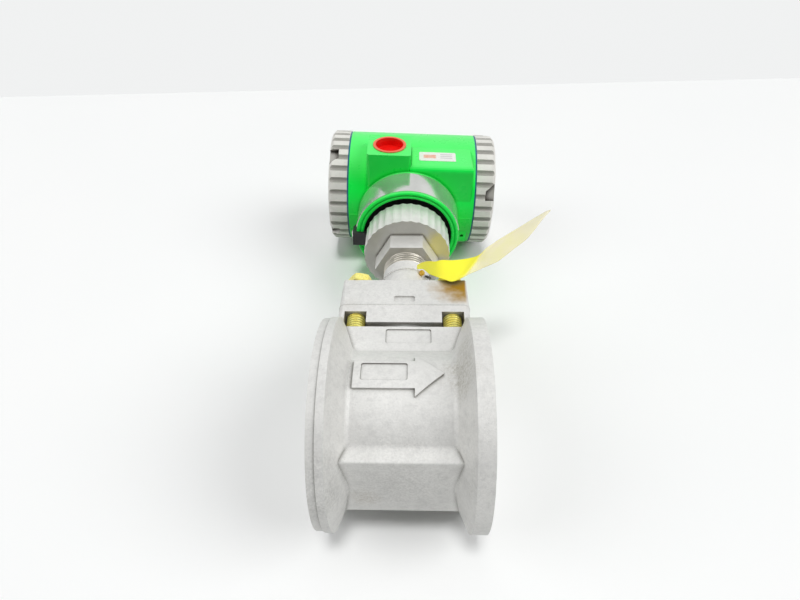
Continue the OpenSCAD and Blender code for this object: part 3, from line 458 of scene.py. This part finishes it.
# The bonnet's corners and its gap to the body get painted shade, also standing for soiling, over a wider
# reach.
bonnet_steel = cast_steel("cast_stainless_bonnet", (0.84, 0.835, 0.81), BONNET_STAINS, [BONNET_TAG_SHADOW],
                          [BONNET_PANEL], reach=5.0, alone=False)
neck_steel = cast_steel("cast_stainless_neck", (0.88, 0.875, 0.85), soil_and_shade=0.2)
# The collar's corners and front faces get painted shade, and its front face a painted reflection of the tag.
collar_steel = machined("collar_steel", (0.92, 0.915, 0.88), 0.38, "y", 0.6, 0.85, [COLLAR_TAG_REFLECTION])
thread_steel = machined("thread_steel", (0.84, 0.8, 0.71), 0.36, "y", 0.55, 0.9)
screw_steel = machined("bright_screw", (0.8, 0.8, 0.78), 0.24, "x")
terminal_steel = machined("terminal_screw_steel", (0.78, 0.72, 0.5), 0.28, "x")
zinc = yellow_zinc()
green = green_paint()
alloy = die_cast()
film = tag_film()
amber = amber_band()
clear_tie = plastic("clear_tie", (0.8, 0.795, 0.76), 0.3, Alpha=0.3)
dark_tie = plastic("dark_tie", (0.09, 0.085, 0.08), 0.5)
rubber = plastic("black_rubber", (0.006, 0.006, 0.006), 0.8, Specular_IOR_Level=0.15)
teal = plastic("teal_rubber", (0.012, 0.13, 0.24), 0.4, 900)
MATERIALS = {
    "meter_body": body_steel,
    "shedder_bar": machined("shedder_steel", (0.62, 0.62, 0.6), 0.34, "y"),
    "vortex_sensor": machined("sensor_steel", (0.8, 0.8, 0.78), 0.35, "y"),
    "sensor_gasket": plastic("graphite", (0.06, 0.06, 0.062), 0.55),
    "bonnet": bonnet_steel,
    "bonnet_bolts": zinc,
    "neck_tube": neck_steel,
    "neck_collar": collar_steel,
    "swivel_ring": rubber,
    "sensor_lead": plastic("lead_jacket", (0.14, 0.14, 0.16), 0.5),
    "housing": green,
    "dust_seal": rubber,
    "socket_band": foil(),
    "retaining_clip": plastic("black_plastic", (0.018, 0.018, 0.02), 0.42, 900),
    "clip_screw": screw_steel,
    "housing_label": label_stock(),
    "conduit_plug": red_plastic(),
    "electronics_module": plastic("potted_module", (0.06, 0.09, 0.13), 0.45),
    "module_screws": screw_steel,
    "terminal_block": plastic("terminal_black", (0.03, 0.03, 0.032), 0.45),
    "terminal_screws": terminal_steel,
    "left_cap_seal": teal,
    "right_cap_seal": teal,
    "left_cap": alloy,
    "right_cap": alloy,
    "tag": film,
    "tag_tie": clear_tie,
}


def paint(obj, mat):
    """Gives an object one material."""
    obj.data.materials.clear()
    obj.data.materials.append(mat.m)


for name, obj in nodes.items():
    paint(obj, MATERIALS[name])


# Mesh helpers, in millimetres

def smooth_shade(mesh, sharp):
    """Shades a mesh smoothly, with edges over the given angle left sharp."""
    for polygon in mesh.polygons:
        polygon.use_smooth = True
    mesh.set_sharp_from_angle(angle=math.radians(sharp))


def piece(name, verts, faces, mat, body, slot, replaces=None):
    """Makes a mesh piece and lets it ride on a body."""
    mesh = bpy.data.meshes.new(name)
    mesh.from_pydata([tuple(Vector(v) * MM) for v in verts], [], faces)
    mesh.validate()
    bm = bmesh.new()
    bm.from_mesh(mesh)
    bmesh.ops.remove_doubles(bm, verts=bm.verts, dist=1e-7)
    bmesh.ops.recalc_face_normals(bm, faces=bm.faces)
    bm.to_mesh(mesh)
    bm.free()
    smooth_shade(mesh, 38)
    obj = bpy.data.objects.new(name, mesh)
    scene.collection.objects.link(obj)
    paint(obj, mat)
    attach(obj, body)
    if replaces:
        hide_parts(replaces)
    return obj


def tube_grid(rings):
    """Faces between rings of equal length, each closed on itself."""
    n = len(rings[0])
    verts = [p for ring in rings for p in ring]
    faces = [(i * n + j, i * n + (j + 1) % n, (i + 1) * n + (j + 1) % n, (i + 1) * n + j)
             for i in range(len(rings) - 1) for j in range(n)]
    return verts, faces


def closed(rings):
    """A tube with both ends filled."""
    verts, faces = tube_grid(rings)
    n = len(rings[0])
    faces.append(tuple(range(n)))
    faces.append(tuple(range(len(verts) - n, len(verts))))
    return verts, faces


def join(parts):
    """Several sets of points and faces as one."""
    verts, faces = [], []
    for part_verts, part_faces in parts:
        base = len(verts)
        verts += part_verts
        faces += [tuple(i + base for i in face) for face in part_faces]
    return verts, faces


def thread_rings(root, crest, pitch, length, run_out, around, per_turn):
    """Radii of a screw thread along its axis: [(station, [radius per angle])]."""
    steep, floor = 1.35, 0.15
    rows = []
    count = int(length / pitch * per_turn)
    for i in range(count + 1):
        s = length * i / count
        fade = max(0.0, min(1.0, s / run_out, (length - s) / run_out))
        radii = []
        for j in range(around):
            phase = (s / pitch - j / around) % 1.0
            rise = max(0.0, min(1.0, (1 - abs(2 * phase - 1)) * steep - floor))
            radii.append(root + (crest - root) * rise * fade)
        rows.append((s, radii))
    return rows


def frame_of(axis):
    """An axis and two directions square to it."""
    a = Vector(axis).normalized()
    side = a.orthogonal().normalized()
    return a, side, a.cross(side)


def threaded(centre, axis, rows):
    """Rings of points round an axis: rows are (station, [radius per angle])."""
    a, u, w = frame_of(axis)
    rings = []
    for s, radii in rows:
        step = TURN / len(radii)
        middle = Vector(centre) + a * s
        rings.append([middle + (u * math.cos(step * j) + w * math.sin(step * j)) * r
                      for j, r in enumerate(radii)])
    return rings


def lathe(centre, axis, profile, around):
    """Rings of a turned shape: profile is (station, radius) along the axis."""
    return threaded(centre, axis, [(s, [r] * around) for s, r in profile])


def bead(path, outs, across, width, height, loop=False):
    """A low ridge along a path: outs are the directions it stands up in, across the ones it is wide in."""
    sunk, shoulder_up, shoulder_out = 0.12, 0.55, 0.3
    section = ((-sunk, -width / 2), (height * shoulder_up, -width * shoulder_out), (height, 0.0),
               (height * shoulder_up, width * shoulder_out), (-sunk, width / 2))
    rings = []
    for p, out, wide in zip(path, outs, across):
        out, wide = out.normalized(), wide.normalized()
        rings.append([p + out * up + wide * aside for up, aside in section])
    if loop:
        return tube_grid(rings + rings[:1])
    return closed(rings)


def hex_head(centre, axis, flats, height, turn):
    """A bolt head: washer face, six flats, the chamfer that rounds their top corners and a shallow dish."""
    around, dish = 72, 0.25
    a, u, w = frame_of(axis)
    half = flats / 2
    top = half * 0.95

    def hex_r(t):
        from_flat = (t + math.pi / 6) % (math.pi / 3) - math.pi / 6
        return half / math.cos(from_flat)

    def chamfered(share):
        return lambda t: height - (hex_r(t) - top) * share

    def level(station):
        return lambda t: station

    def round_r(radius):
        return lambda t: radius

    def hex_at(share):
        return lambda t: hex_r(t) * share

    profile = ((level(0.0), round_r(half * 0.94)), (level(0.45), round_r(half * 0.96)),
               (level(0.5), hex_at(0.99)), (level(0.75), hex_at(1.0)),
               (chamfered(0.62), hex_at(1.0)), (chamfered(0.5), hex_at(0.985)),
               (level(height), round_r(top)), (level(height), round_r(top * 0.8)),
               (level(height - dish), round_r(top * 0.74)), (level(height - dish), round_r(top * 0.3)))
    angles = [TURN * j / around for j in range(around)]
    rings = []
    for station, radius in profile:
        rings.append([Vector(centre) + a * station(t)
                      + (u * math.cos(t + turn) + w * math.sin(t + turn)) * radius(t) for t in angles])
    return closed(rings)


def carve(obj, cutters):
    """Cuts solids out of a piece for good."""
    for cutter in cutters:
        cut = obj.modifiers.new("cut", "BOOLEAN")
        cut.operation = "DIFFERENCE"
        cut.solver = "EXACT"
        cut.object = cutter
    graph = bpy.context.evaluated_depsgraph_get()
    mesh = bpy.data.meshes.new_from_object(obj.evaluated_get(graph))
    obj.modifiers.clear()
    obj.data = mesh
    for cutter in cutters:
        bpy.data.objects.remove(cutter)
    smooth_shade(mesh, 35)


def block(centre, axes, size):
    """A scratch box for carve."""
    bm = bmesh.new()
    bmesh.ops.create_cube(bm, size=1.0)
    place = Matrix.Translation(Vector(centre) * MM)
    turned = Matrix([a.normalized() for a in axes]).transposed().to_4x4()
    scaled = Matrix.Diagonal(Vector((*[s * MM for s in size], 1)))
    bmesh.ops.transform(bm, matrix=place @ turned @ scaled, verts=bm.verts)
    mesh = bpy.data.meshes.new("cutter")
    bm.to_mesh(mesh)
    bm.free()
    obj = bpy.data.objects.new("cutter", mesh)
    scene.collection.objects.link(obj)
    return obj


# Threads and bolts

def bonnet_bolts():
    """Four hex bolts: thread, plain shank and head, each head turned its own way."""
    engaged, pitch, depth, thread_len, run_out = 12.0, 1.5, 0.75, 26.0, 1.2
    shank_r, shank_from, shank_to = BOLT_R - 0.1, 26.6, 44.2
    head_flats, head_h = 11.4, 5.3
    around = 40
    turns = {(-1, -1): 38, (-1, 1): 27, (1, -1): 24, (1, 1): 33}
    parts = []
    for (i, j), turn in turns.items():
        foot = (MID_X + i * BOLT_X, BOSS_Y - engaged, j * BOLT_Z)
        rows = thread_rings(BOLT_R - depth, BOLT_R, pitch, thread_len, run_out, around, 9)
        rows += [(s, [shank_r] * around) for s in (shank_from, shank_to)]
        parts.append(closed(threaded(foot, ALONG_Y, rows)))
        head = (foot[0], BONNET_TOP, foot[2])
        parts.append(hex_head(head, ALONG_Y, head_flats, head_h, math.radians(turn)))
    piece("bonnet_bolt_set", *join(parts), zinc, "meter", "yellow_zinc", replaces="bonnet_bolts")


def neck_thread():
    """The neck's own thread, from its shoulder into the collar."""
    root, crest, pitch, run_out = 12.24, 13.05, 1.8, 1.1
    sunk, covered = 0.2, 0.6
    rows = thread_rings(root, crest, pitch, COLLAR_Y - NECK_TOP + sunk + covered, run_out, 64, 10)
    rings = threaded((MID_X, NECK_TOP - sunk, 0), ALONG_Y, rows)
    piece("neck_thread", *tube_grid(rings), thread_steel, "meter", "machined_stainless")


def cap_threads():
    """The threads on the housing's two ends, seen when a cap is off."""
    root, crest, pitch, length, run_out = THREAD_R + 0.03, THREAD_R + 0.24, 1.6, 7.4, 0.8
    for name, x, sign in (("left_end_thread", -HOUSING_LEFT, -1), ("right_end_thread", HOUSING_RIGHT, 1)):
        rows = thread_rings(root, crest, pitch, length, run_out, 96, 8)
        rings = threaded(swung(x, HOUSING_Y, 0), swung_way(sign, 0), rows)
        piece(name, *tube_grid(rings), screw_steel, "transmitter", "bright_screw")


def conduit_thread():
    """Thread in the open conduit entry on the under side."""
    root, crest, pitch, length, run_out, inset = 10.26, 9.76, 1.4, 15.0, 1.2, 1.2
    rows = thread_rings(root, crest, pitch, length, run_out, 64, 8)
    rings = threaded(swung(-CONDUIT_X, CONDUIT_Y, -CONDUIT_REACH + inset), swung_way(0, 1), rows)
    piece("conduit_thread", *tube_grid(rings), green, "transmitter", "green_paint")


# Casting flash

def bonnet_seam():
    """Flash left where the two halves of the bonnet's mould met."""
    width, height, steps = 0.5, 0.22, 6
    in_x, in_z = BONNET_HALF_X - BONNET_CORNER, BONNET_HALF_Z - BONNET_CORNER
    path, outs = [], []
    for x, z, start in ((in_x, in_z, 0), (-in_x, in_z, 90), (-in_x, -in_z, 180), (in_x, -in_z, 270)):
        for k in range(steps + 1):
            t = math.radians(start + 90 * k / steps)
            out = Vector((math.cos(t), 0, math.sin(t)))
            path.append(Vector((MID_X + x, PARTING_Y, z)) + out * BONNET_CORNER)
            outs.append(out)
    verts, faces = bead(path, outs, [ALONG_Y] * len(path), width, height, loop=True)
    piece("bonnet_flash", verts, faces, bonnet_steel, "meter", "cast_stainless")


def housing_seam():
    """Flash round the housing where its mould parted."""
    width, height, end_gap, steps = 0.5, 0.16, 0.4, 8
    past_clip, past_lip = 152.0, 142.0
    right = swung_way(1, 0)
    front, rear = HOUSING_Y - HOUSING_R, HOUSING_Y + HOUSING_R
    left_end, right_end = -HOUSING_LEFT + end_gap, HOUSING_RIGHT - end_gap
    runs = (
        ((left_end, front), (-SOCKET_R, front), -ALONG_Y),
        ((SOCKET_R, front), (right_end, front), -ALONG_Y),
        ((left_end, rear), (right_end, rear), ALONG_Y),
        ((-SOCKET_R, past_clip), (-SOCKET_R, front), -right),
        ((SOCKET_R, past_lip), (SOCKET_R, front), right),
    )
    parts = []
    for (xa, ya), (xb, yb), out in runs:
        shares = [k / steps for k in range(steps + 1)]
        path = [swung(xa + (xb - xa) * t, ya + (yb - ya) * t, 0) for t in shares]
        parts.append(bead(path, [out] * len(path), [swung_way(0, 1)] * len(path), width, height))
    piece("housing_flash", *join(parts), green, "transmitter", "green_paint")


# Tag and tie

def height_at(points, x):
    """Height of a polyline at x."""
    for (xa, ya), (xb, yb) in zip(points, points[1:]):
        if xa <= x <= xb:
            return ya + (yb - ya) * (x - xa) / (xb - xa)
    return points[-1][1]


def smoothed(values, passes):
    """Rounds off a row of heights and keeps its two ends."""
    for _ in range(passes):
        inner = [(a + 2 * b + c) / 4 for a, b, c in zip(values, values[1:], values[2:])]
        values = [values[0]] + inner + [values[-1]]
    return values


def eased(value, start, run):
    """0 up to start, 1 after start + run."""
    return max(0.0, min(1.0, (value - start) / run))


def tag_leaf():
    """The film tag: one sheet that dips at its near edge, creases and curls up to its free end."""
    length, thick, columns, rows = 64.4, 0.3, 96, 14
    lower = [(0, -1), (3.4, -7.4), (5.9, -15.9), (9.3, -22.5), (11.7, -25.6), (14.1, -27.3), (16.5, -28.7),
             (19, -28.3), (22.1, -26.7), (26.2, -23.7), (32.3, -21.6), (39.8, -21.6), (43.6, -19.9),
             (48.4, -17.6), (53.1, -15.7), (57, -12.7), (60.1, -9.4), (64.4, -6.2)]
    upper = [(0, 2), (1.8, 0.4), (9.5, -11.1), (17.2, -12.3), (24, -11.5), (32.1, -11.8), (35.3, -8.3),
             (40.4, -5.6), (45.2, -4.8), (54.6, -4.2), (63.5, -4.4), (64.4, -6.1)]
    rise = [(0, 0), (5, 8.2), (9.5, 13.4), (12.5, 14.9), (24, 15.2), (31, 17.4), (39, 22), (52, 31.5),
            (66, 43)]
    wave_h, bow_h, crease_h, crease_w = 0.3, 0.7, 0.7, 1.6
    xs = [length * i / columns for i in range(columns + 1)]
    near = smoothed([height_at(lower, x) for x in xs], 2)
    far = smoothed([height_at(upper, x) for x in xs], 2)
    lift = smoothed([height_at(rise, x) for x in xs], 6)
    top = []
    for i, x in enumerate(xs):
        for j in range(rows + 1):
            t = j / rows
            y = near[i] + (far[i] - near[i]) * t
            wave = wave_h * math.sin(x * 0.33 + t * 2.2) * (1 - t) * eased(x, 24, 8)
            bow = -bow_h * (2 * t - 1) ** 2 * eased(x, 34, 10)
            past_fold = CREASE_RUN * (x - CREASE_X) - CREASE_DROP * (y - CREASE_Y)
            crease = crease_h * math.exp(-(past_fold / crease_w) ** 2)
            top.append(Vector((TAG_X + x, TIE_Y + y, TAG_Z + lift[i] + wave + bow + crease)))
    n, base = rows + 1, len(top)
    verts = top + [p - Vector((0, 0, thick)) for p in top]
    faces = []
    for i in range(columns):
        for j in range(rows):
            quad = (i * n + j, (i + 1) * n + j, (i + 1) * n + j + 1, i * n + j + 1)
            faces.append(quad)
            faces.append(tuple(base + k for k in reversed(quad)))
    rim = list(range(n)) + [i * n + rows for i in range(1, columns + 1)]
    rim += [columns * n + j for j in range(rows - 1, -1, -1)] + [i * n for i in range(columns - 1, 0, -1)]
    faces += [(a, b, base + b, base + a) for a, b in zip(rim, rim[1:] + rim[:1])]
    piece("tag_leaf", verts, faces, film, "meter", "yellow_film", replaces="tag")


def ball(centre, axis, size, long):
    """A rounded lump, drawn out along its axis."""
    steps, tip = 12, 0.02
    angles = [math.pi * k / steps for k in range(steps + 1)]
    profile = [(-size * long * math.cos(t), max(tip, size * math.sin(t))) for t in angles]
    return closed(lathe(centre, axis, profile, 20))


def tie_loop():
    """Clear loop round the neck, with its amber knot beside the tag and a cut end."""
    loop_r, wire_r, wave_h, steps, around = 13.5, 0.4, 0.25, 96, 10
    rings = []
    for i in range(steps):
        t = TURN * i / steps
        out = Vector((math.sin(t), 0, math.cos(t)))
        middle = Vector((MID_X, TIE_Y + wave_h * math.sin(3 * t), 0)) + out * loop_r
        angles = [TURN * k / around for k in range(around)]
        rings.append([middle + (out * math.cos(a) + ALONG_Y * math.sin(a)) * wire_r for a in angles])
    piece("tie_loop", *tube_grid(rings + rings[:1]), clear_tie, "meter", "tie_wire", replaces="tag_tie")

    def beside(radius, turn, drop):
        return (MID_X + radius * math.sin(turn), TIE_Y - drop, radius * math.cos(turn))

    knot = ball(beside(14.3, 0.66, 1.2), (0.3, -0.9, 0.2), 1.5, 1.25)
    piece("tie_knot", *knot, amber, "meter", "tie_wire")
    end = ball(beside(14.6, 0.98, 1.0), (0.9, -0.3, -0.2), 0.8, 2.4)
    piece("tie_end", *end, dark_tie, "meter", "tie_wire")


# Screws of the transmitter

def screws(name, node, mat, seats, axis, head_d, head_h, shank_d, shank_len, cross):
    """Domed screws with a cross or a slot: seats are the points under each head, axis points out of them."""
    a, u, w = frame_of(axis)
    head_r, shank_r, tip = head_d / 2, shank_d / 2, 0.6
    profile = [(-shank_len, shank_r * 0.7), (-shank_len + tip, shank_r), (-0.02, shank_r), (0, head_r * 0.97),
               (0.12, head_r), (head_h * 0.45, head_r), (head_h * 0.75, head_r * 0.93),
               (head_h * 0.92, head_r * 0.78), (head_h, head_r * 0.5)]
    cut_size = (head_d * (0.62 if cross else 1.3), head_d * 0.14, head_h * 1.1)
    first_turn, next_turn = 0.5, 0.9
    parts, cutters = [], []
    for k, seat in enumerate(seats):
        parts.append(closed(lathe(seat, a, profile, 40)))
        turn = first_turn + next_turn * k
        p = u * math.cos(turn) + w * math.sin(turn)
        q = w * math.cos(turn) - u * math.sin(turn)
        top = Vector(seat) + a * head_h
        cutters.append(block(top, (p, q, a), cut_size))
        if cross:
            cutters.append(block(top, (q, p, a), cut_size))
    obj = piece(name, *join(parts), mat, "transmitter", "bright_screw", replaces=node)
    carve(obj, cutters)


def fasteners():
    """The clip's screw on the socket, and the screws inside the two compartments."""
    clip_turn = math.radians(8)
    clip_reach, clip_drop, clip_up = SOCKET_R + 2.15, 2.0, 3.9
    c, s = math.cos(clip_turn), math.sin(clip_turn)
    clip = swung(-clip_reach * c + clip_drop * s, SOCKET_MOUTH_Y + clip_up, -clip_reach * s - clip_drop * c)
    screws("clip_screw_head", "clip_screw", screw_steel, [clip], swung_way(-c, -s),
           head_d=6.6, head_h=2.0, shank_d=3.0, shank_len=7.0, cross=True)
    terminal_x, terminal_pitch = -10.0, 10.0
    seats = [swung(terminal_x, HOUSING_Y, i * terminal_pitch) for i in (-1, 0, 1)]
    screws("terminal_screw_set", "terminal_screws", terminal_steel, seats, swung_way(-1, 0),
           head_d=6.0, head_h=2.0, shank_d=3.0, shank_len=10.0, cross=False)
    module_x, module_half = 42.0, 19.0
    seats = [swung(module_x, HOUSING_Y, i * module_half) for i in (-1, 1)]
    screws("module_screw_set", "module_screws", screw_steel, seats, swung_way(1, 0),
           head_d=7.0, head_h=2.4, shank_d=4.0, shank_len=38.0, cross=True)


bonnet_bolts()
neck_thread()
cap_threads()
conduit_thread()
bonnet_seam()
housing_seam()
tag_leaf()
tie_loop()
fasteners()

# Edges of the solids: how far each is rounded, in millimetres
EDGES = {
    "meter_body": 0.5, "bonnet": 0.7, "neck_tube": 0.9, "neck_collar": 0.3, "housing": 0.6,
    "left_cap": 0.35, "right_cap": 0.35, "conduit_plug": 0.4, "retaining_clip": 0.4, "shedder_bar": 0.2,
    "electronics_module": 0.5, "terminal_block": 0.3, "vortex_sensor": 0.2, "housing_label": 0.08,
    "socket_band": 0.1, "left_cap_seal": 0.15, "right_cap_seal": 0.15,
}
EDGE_ANGLE = 32


def soften(obj, width):
    """Rounds the edges of a solid and shades its curves smoothly."""
    smooth_shade(obj.data, EDGE_ANGLE)
    flats = obj.modifiers.new("flats", "DECIMATE")
    flats.decimate_type = "DISSOLVE"
    flats.angle_limit = math.radians(0.4)
    flats.delimit = {"SHARP"}
    edges = obj.modifiers.new("edges", "BEVEL")
    edges.width = width * MM
    edges.segments = 2
    edges.limit_method = "ANGLE"
    edges.angle_limit = math.radians(EDGE_ANGLE)
    normals = obj.modifiers.new("normals", "WEIGHTED_NORMAL")
    normals.keep_sharp = True


for name, width in EDGES.items():
    soften(nodes[name], width)

# Camera: its place in millimetres, its angles in degrees and its focal length in pixels of the frame
FRAME_W, FRAME_H = 800.0, 600.0
CAM = Vector((40.3, -145.6, 208.9)) * MM
PITCH, YAW, ROLL = (math.radians(a) for a in (42.89, -2.17, 1.22))
FOCAL = 559.8
FORWARD = Vector((math.sin(YAW) * math.cos(PITCH), math.cos(YAW) * math.cos(PITCH), -math.sin(PITCH)))
LEVEL = Vector((math.cos(YAW), -math.sin(YAW), 0))
RIGHT = LEVEL * math.cos(ROLL) + FORWARD.cross(LEVEL) * math.sin(ROLL)
DOWN = FORWARD.cross(LEVEL) * math.cos(ROLL) - LEVEL * math.sin(ROLL)


def build_stage():
    """The bench: it touches the discs and the under side's conduit boss, and ends behind the object."""
    drop, boss_rise, boss_reach, depth = 46.32, 3.81, 187.2, 2.4
    edge_left, edge_right = 97.0, 78.0
    past_left, past_right = -500.0, 1300.0
    tilt = math.asin(boss_rise / boss_reach)
    up = Vector((0, -math.sin(tilt), math.cos(tilt)))
    base = up * (-drop * MM)

    def far_edge(u):
        """The bench's far edge at a pixel column of the frame."""
        v = edge_left + (edge_right - edge_left) * u / FRAME_W
        ray = FORWARD + RIGHT * ((u - FRAME_W / 2) / FOCAL) + DOWN * ((v - FRAME_H / 2) / FOCAL)
        return CAM + ray * ((base - CAM).dot(up) / ray.dot(up))

    far = [far_edge(u) for u in (past_left, past_right)]
    back = up.cross(ALONG_X)
    near = [p - back * depth for p in far]
    mesh = bpy.data.meshes.new("floor")
    mesh.from_pydata([tuple(p) for p in (near[0], near[1], far[1], far[0])], [], [(0, 1, 2, 3)])
    floor = bpy.data.objects.new("floor", mesh)
    scene.collection.objects.link(floor)
    m = Mat("floor_white", (0.9, 0.905, 0.9), 0.7)
    path = m.node("ShaderNodeLightPath").outputs
    mirrored = m.math("MAXIMUM", path["Is Glossy Ray"], path["Is Transmission Ray"])
    seen = m.math("MAXIMUM", path["Is Camera Ray"], mirrored)
    pale = m.mix(m.remap(m.noise(3, 2), 0.3, 0.7), (0.965, 0.975, 0.97), (0.985, 0.99, 0.985))
    m.color(m.mix(seen, (0.45, 0.455, 0.45), pale))
    m.bump(m.noise(500, 2), 0.02, 0.0005)
    mesh.materials.append(m.m)


def build_world():
    """A sky brightest overhead that gives light, and one dimmer towards the viewer that is seen."""
    world = bpy.data.worlds.new("studio")
    scene.world = world
    world.use_nodes = True
    nt = world.node_tree
    nt.nodes.clear()

    def node(kind, **props):
        added = nt.nodes.new(kind)
        for key, value in props.items():
            setattr(added, key, value)
        return added

    def larger(a, b):
        maximum = node("ShaderNodeMath", operation="MAXIMUM")
        nt.links.new(a, maximum.inputs[0])
        nt.links.new(b, maximum.inputs[1])
        return maximum.outputs[0]

    def sky(way, color, start, end, low, high):
        """A sky whose strength goes from low to high as its direction turns towards way."""
        along = node("ShaderNodeVectorMath", operation="DOT_PRODUCT")
        nt.links.new(node("ShaderNodeTexCoord").outputs["Generated"], along.inputs[0])
        along.inputs[1].default_value = way
        ramp = node("ShaderNodeMapRange", interpolation_type="SMOOTHSTEP")
        nt.links.new(along.outputs["Value"], ramp.inputs["Value"])
        for key, value in (("From Min", start), ("From Max", end), ("To Min", low), ("To Max", high)):
            ramp.inputs[key].default_value = value
        background = node("ShaderNodeBackground")
        background.inputs["Color"].default_value = (*color, 1)
        nt.links.new(ramp.outputs["Result"], background.inputs["Strength"])
        return background.outputs[0]

    path = node("ShaderNodeLightPath").outputs
    seen = larger(path["Is Camera Ray"], larger(path["Is Glossy Ray"], path["Is Transmission Ray"]))
    mix = node("ShaderNodeMixShader")
    nt.links.new(seen, mix.inputs["Fac"])
    nt.links.new(sky((0, 0.4, 0.92), (0.98, 0.99, 1.0), 0.4, 1.0, 0.02, 0.4), mix.inputs[1])
    nt.links.new(sky((0, 1, 0), (0.99, 1.0, 1.0), -0.75, 0.35, 0.3, 0.885), mix.inputs[2])
    nt.links.new(mix.outputs[0], node("ShaderNodeOutputWorld").inputs["Surface"])


# Lamps: the way the light goes, its strength, its spread in degrees, and whether it is mirrored
LAMPS = {
    "top": ((0, 0.24, -1), 1.2, 12, False),
    "right": ((-1, 0.25, -1), 1.25, 38, True),
    "left": ((1, 0.25, -1), 0.62, 38, True),
}


def build_lamps():
    """Three lamps above the front: a tighter one from the top and a broad one from each side."""
    for name, (way, strength, spread, mirrored) in LAMPS.items():
        light = bpy.data.lights.new(name, "SUN")
        light.energy = strength
        light.angle = math.radians(spread)
        obj = bpy.data.objects.new(name, light)
        scene.collection.objects.link(obj)
        obj.visible_glossy = mirrored
        obj.rotation_euler = Vector(way).to_track_quat("-Z", "Y").to_euler()


def build_camera():
    """The camera at the photograph's viewing angle."""
    sensor = 36.0
    cam = bpy.data.objects.new("camera", bpy.data.cameras.new("camera"))
    scene.collection.objects.link(cam)
    cam.data.sensor_width = sensor
    cam.data.lens = sensor * FOCAL / FRAME_W
    cam.data.clip_start = 0.01
    cam.data.clip_end = 20.0
    cam.matrix_world = Matrix.Translation(CAM) @ Matrix((RIGHT, -DOWN, -FORWARD)).transposed().to_4x4()
    scene.camera = cam


build_stage()
build_world()
build_lamps()
build_camera()
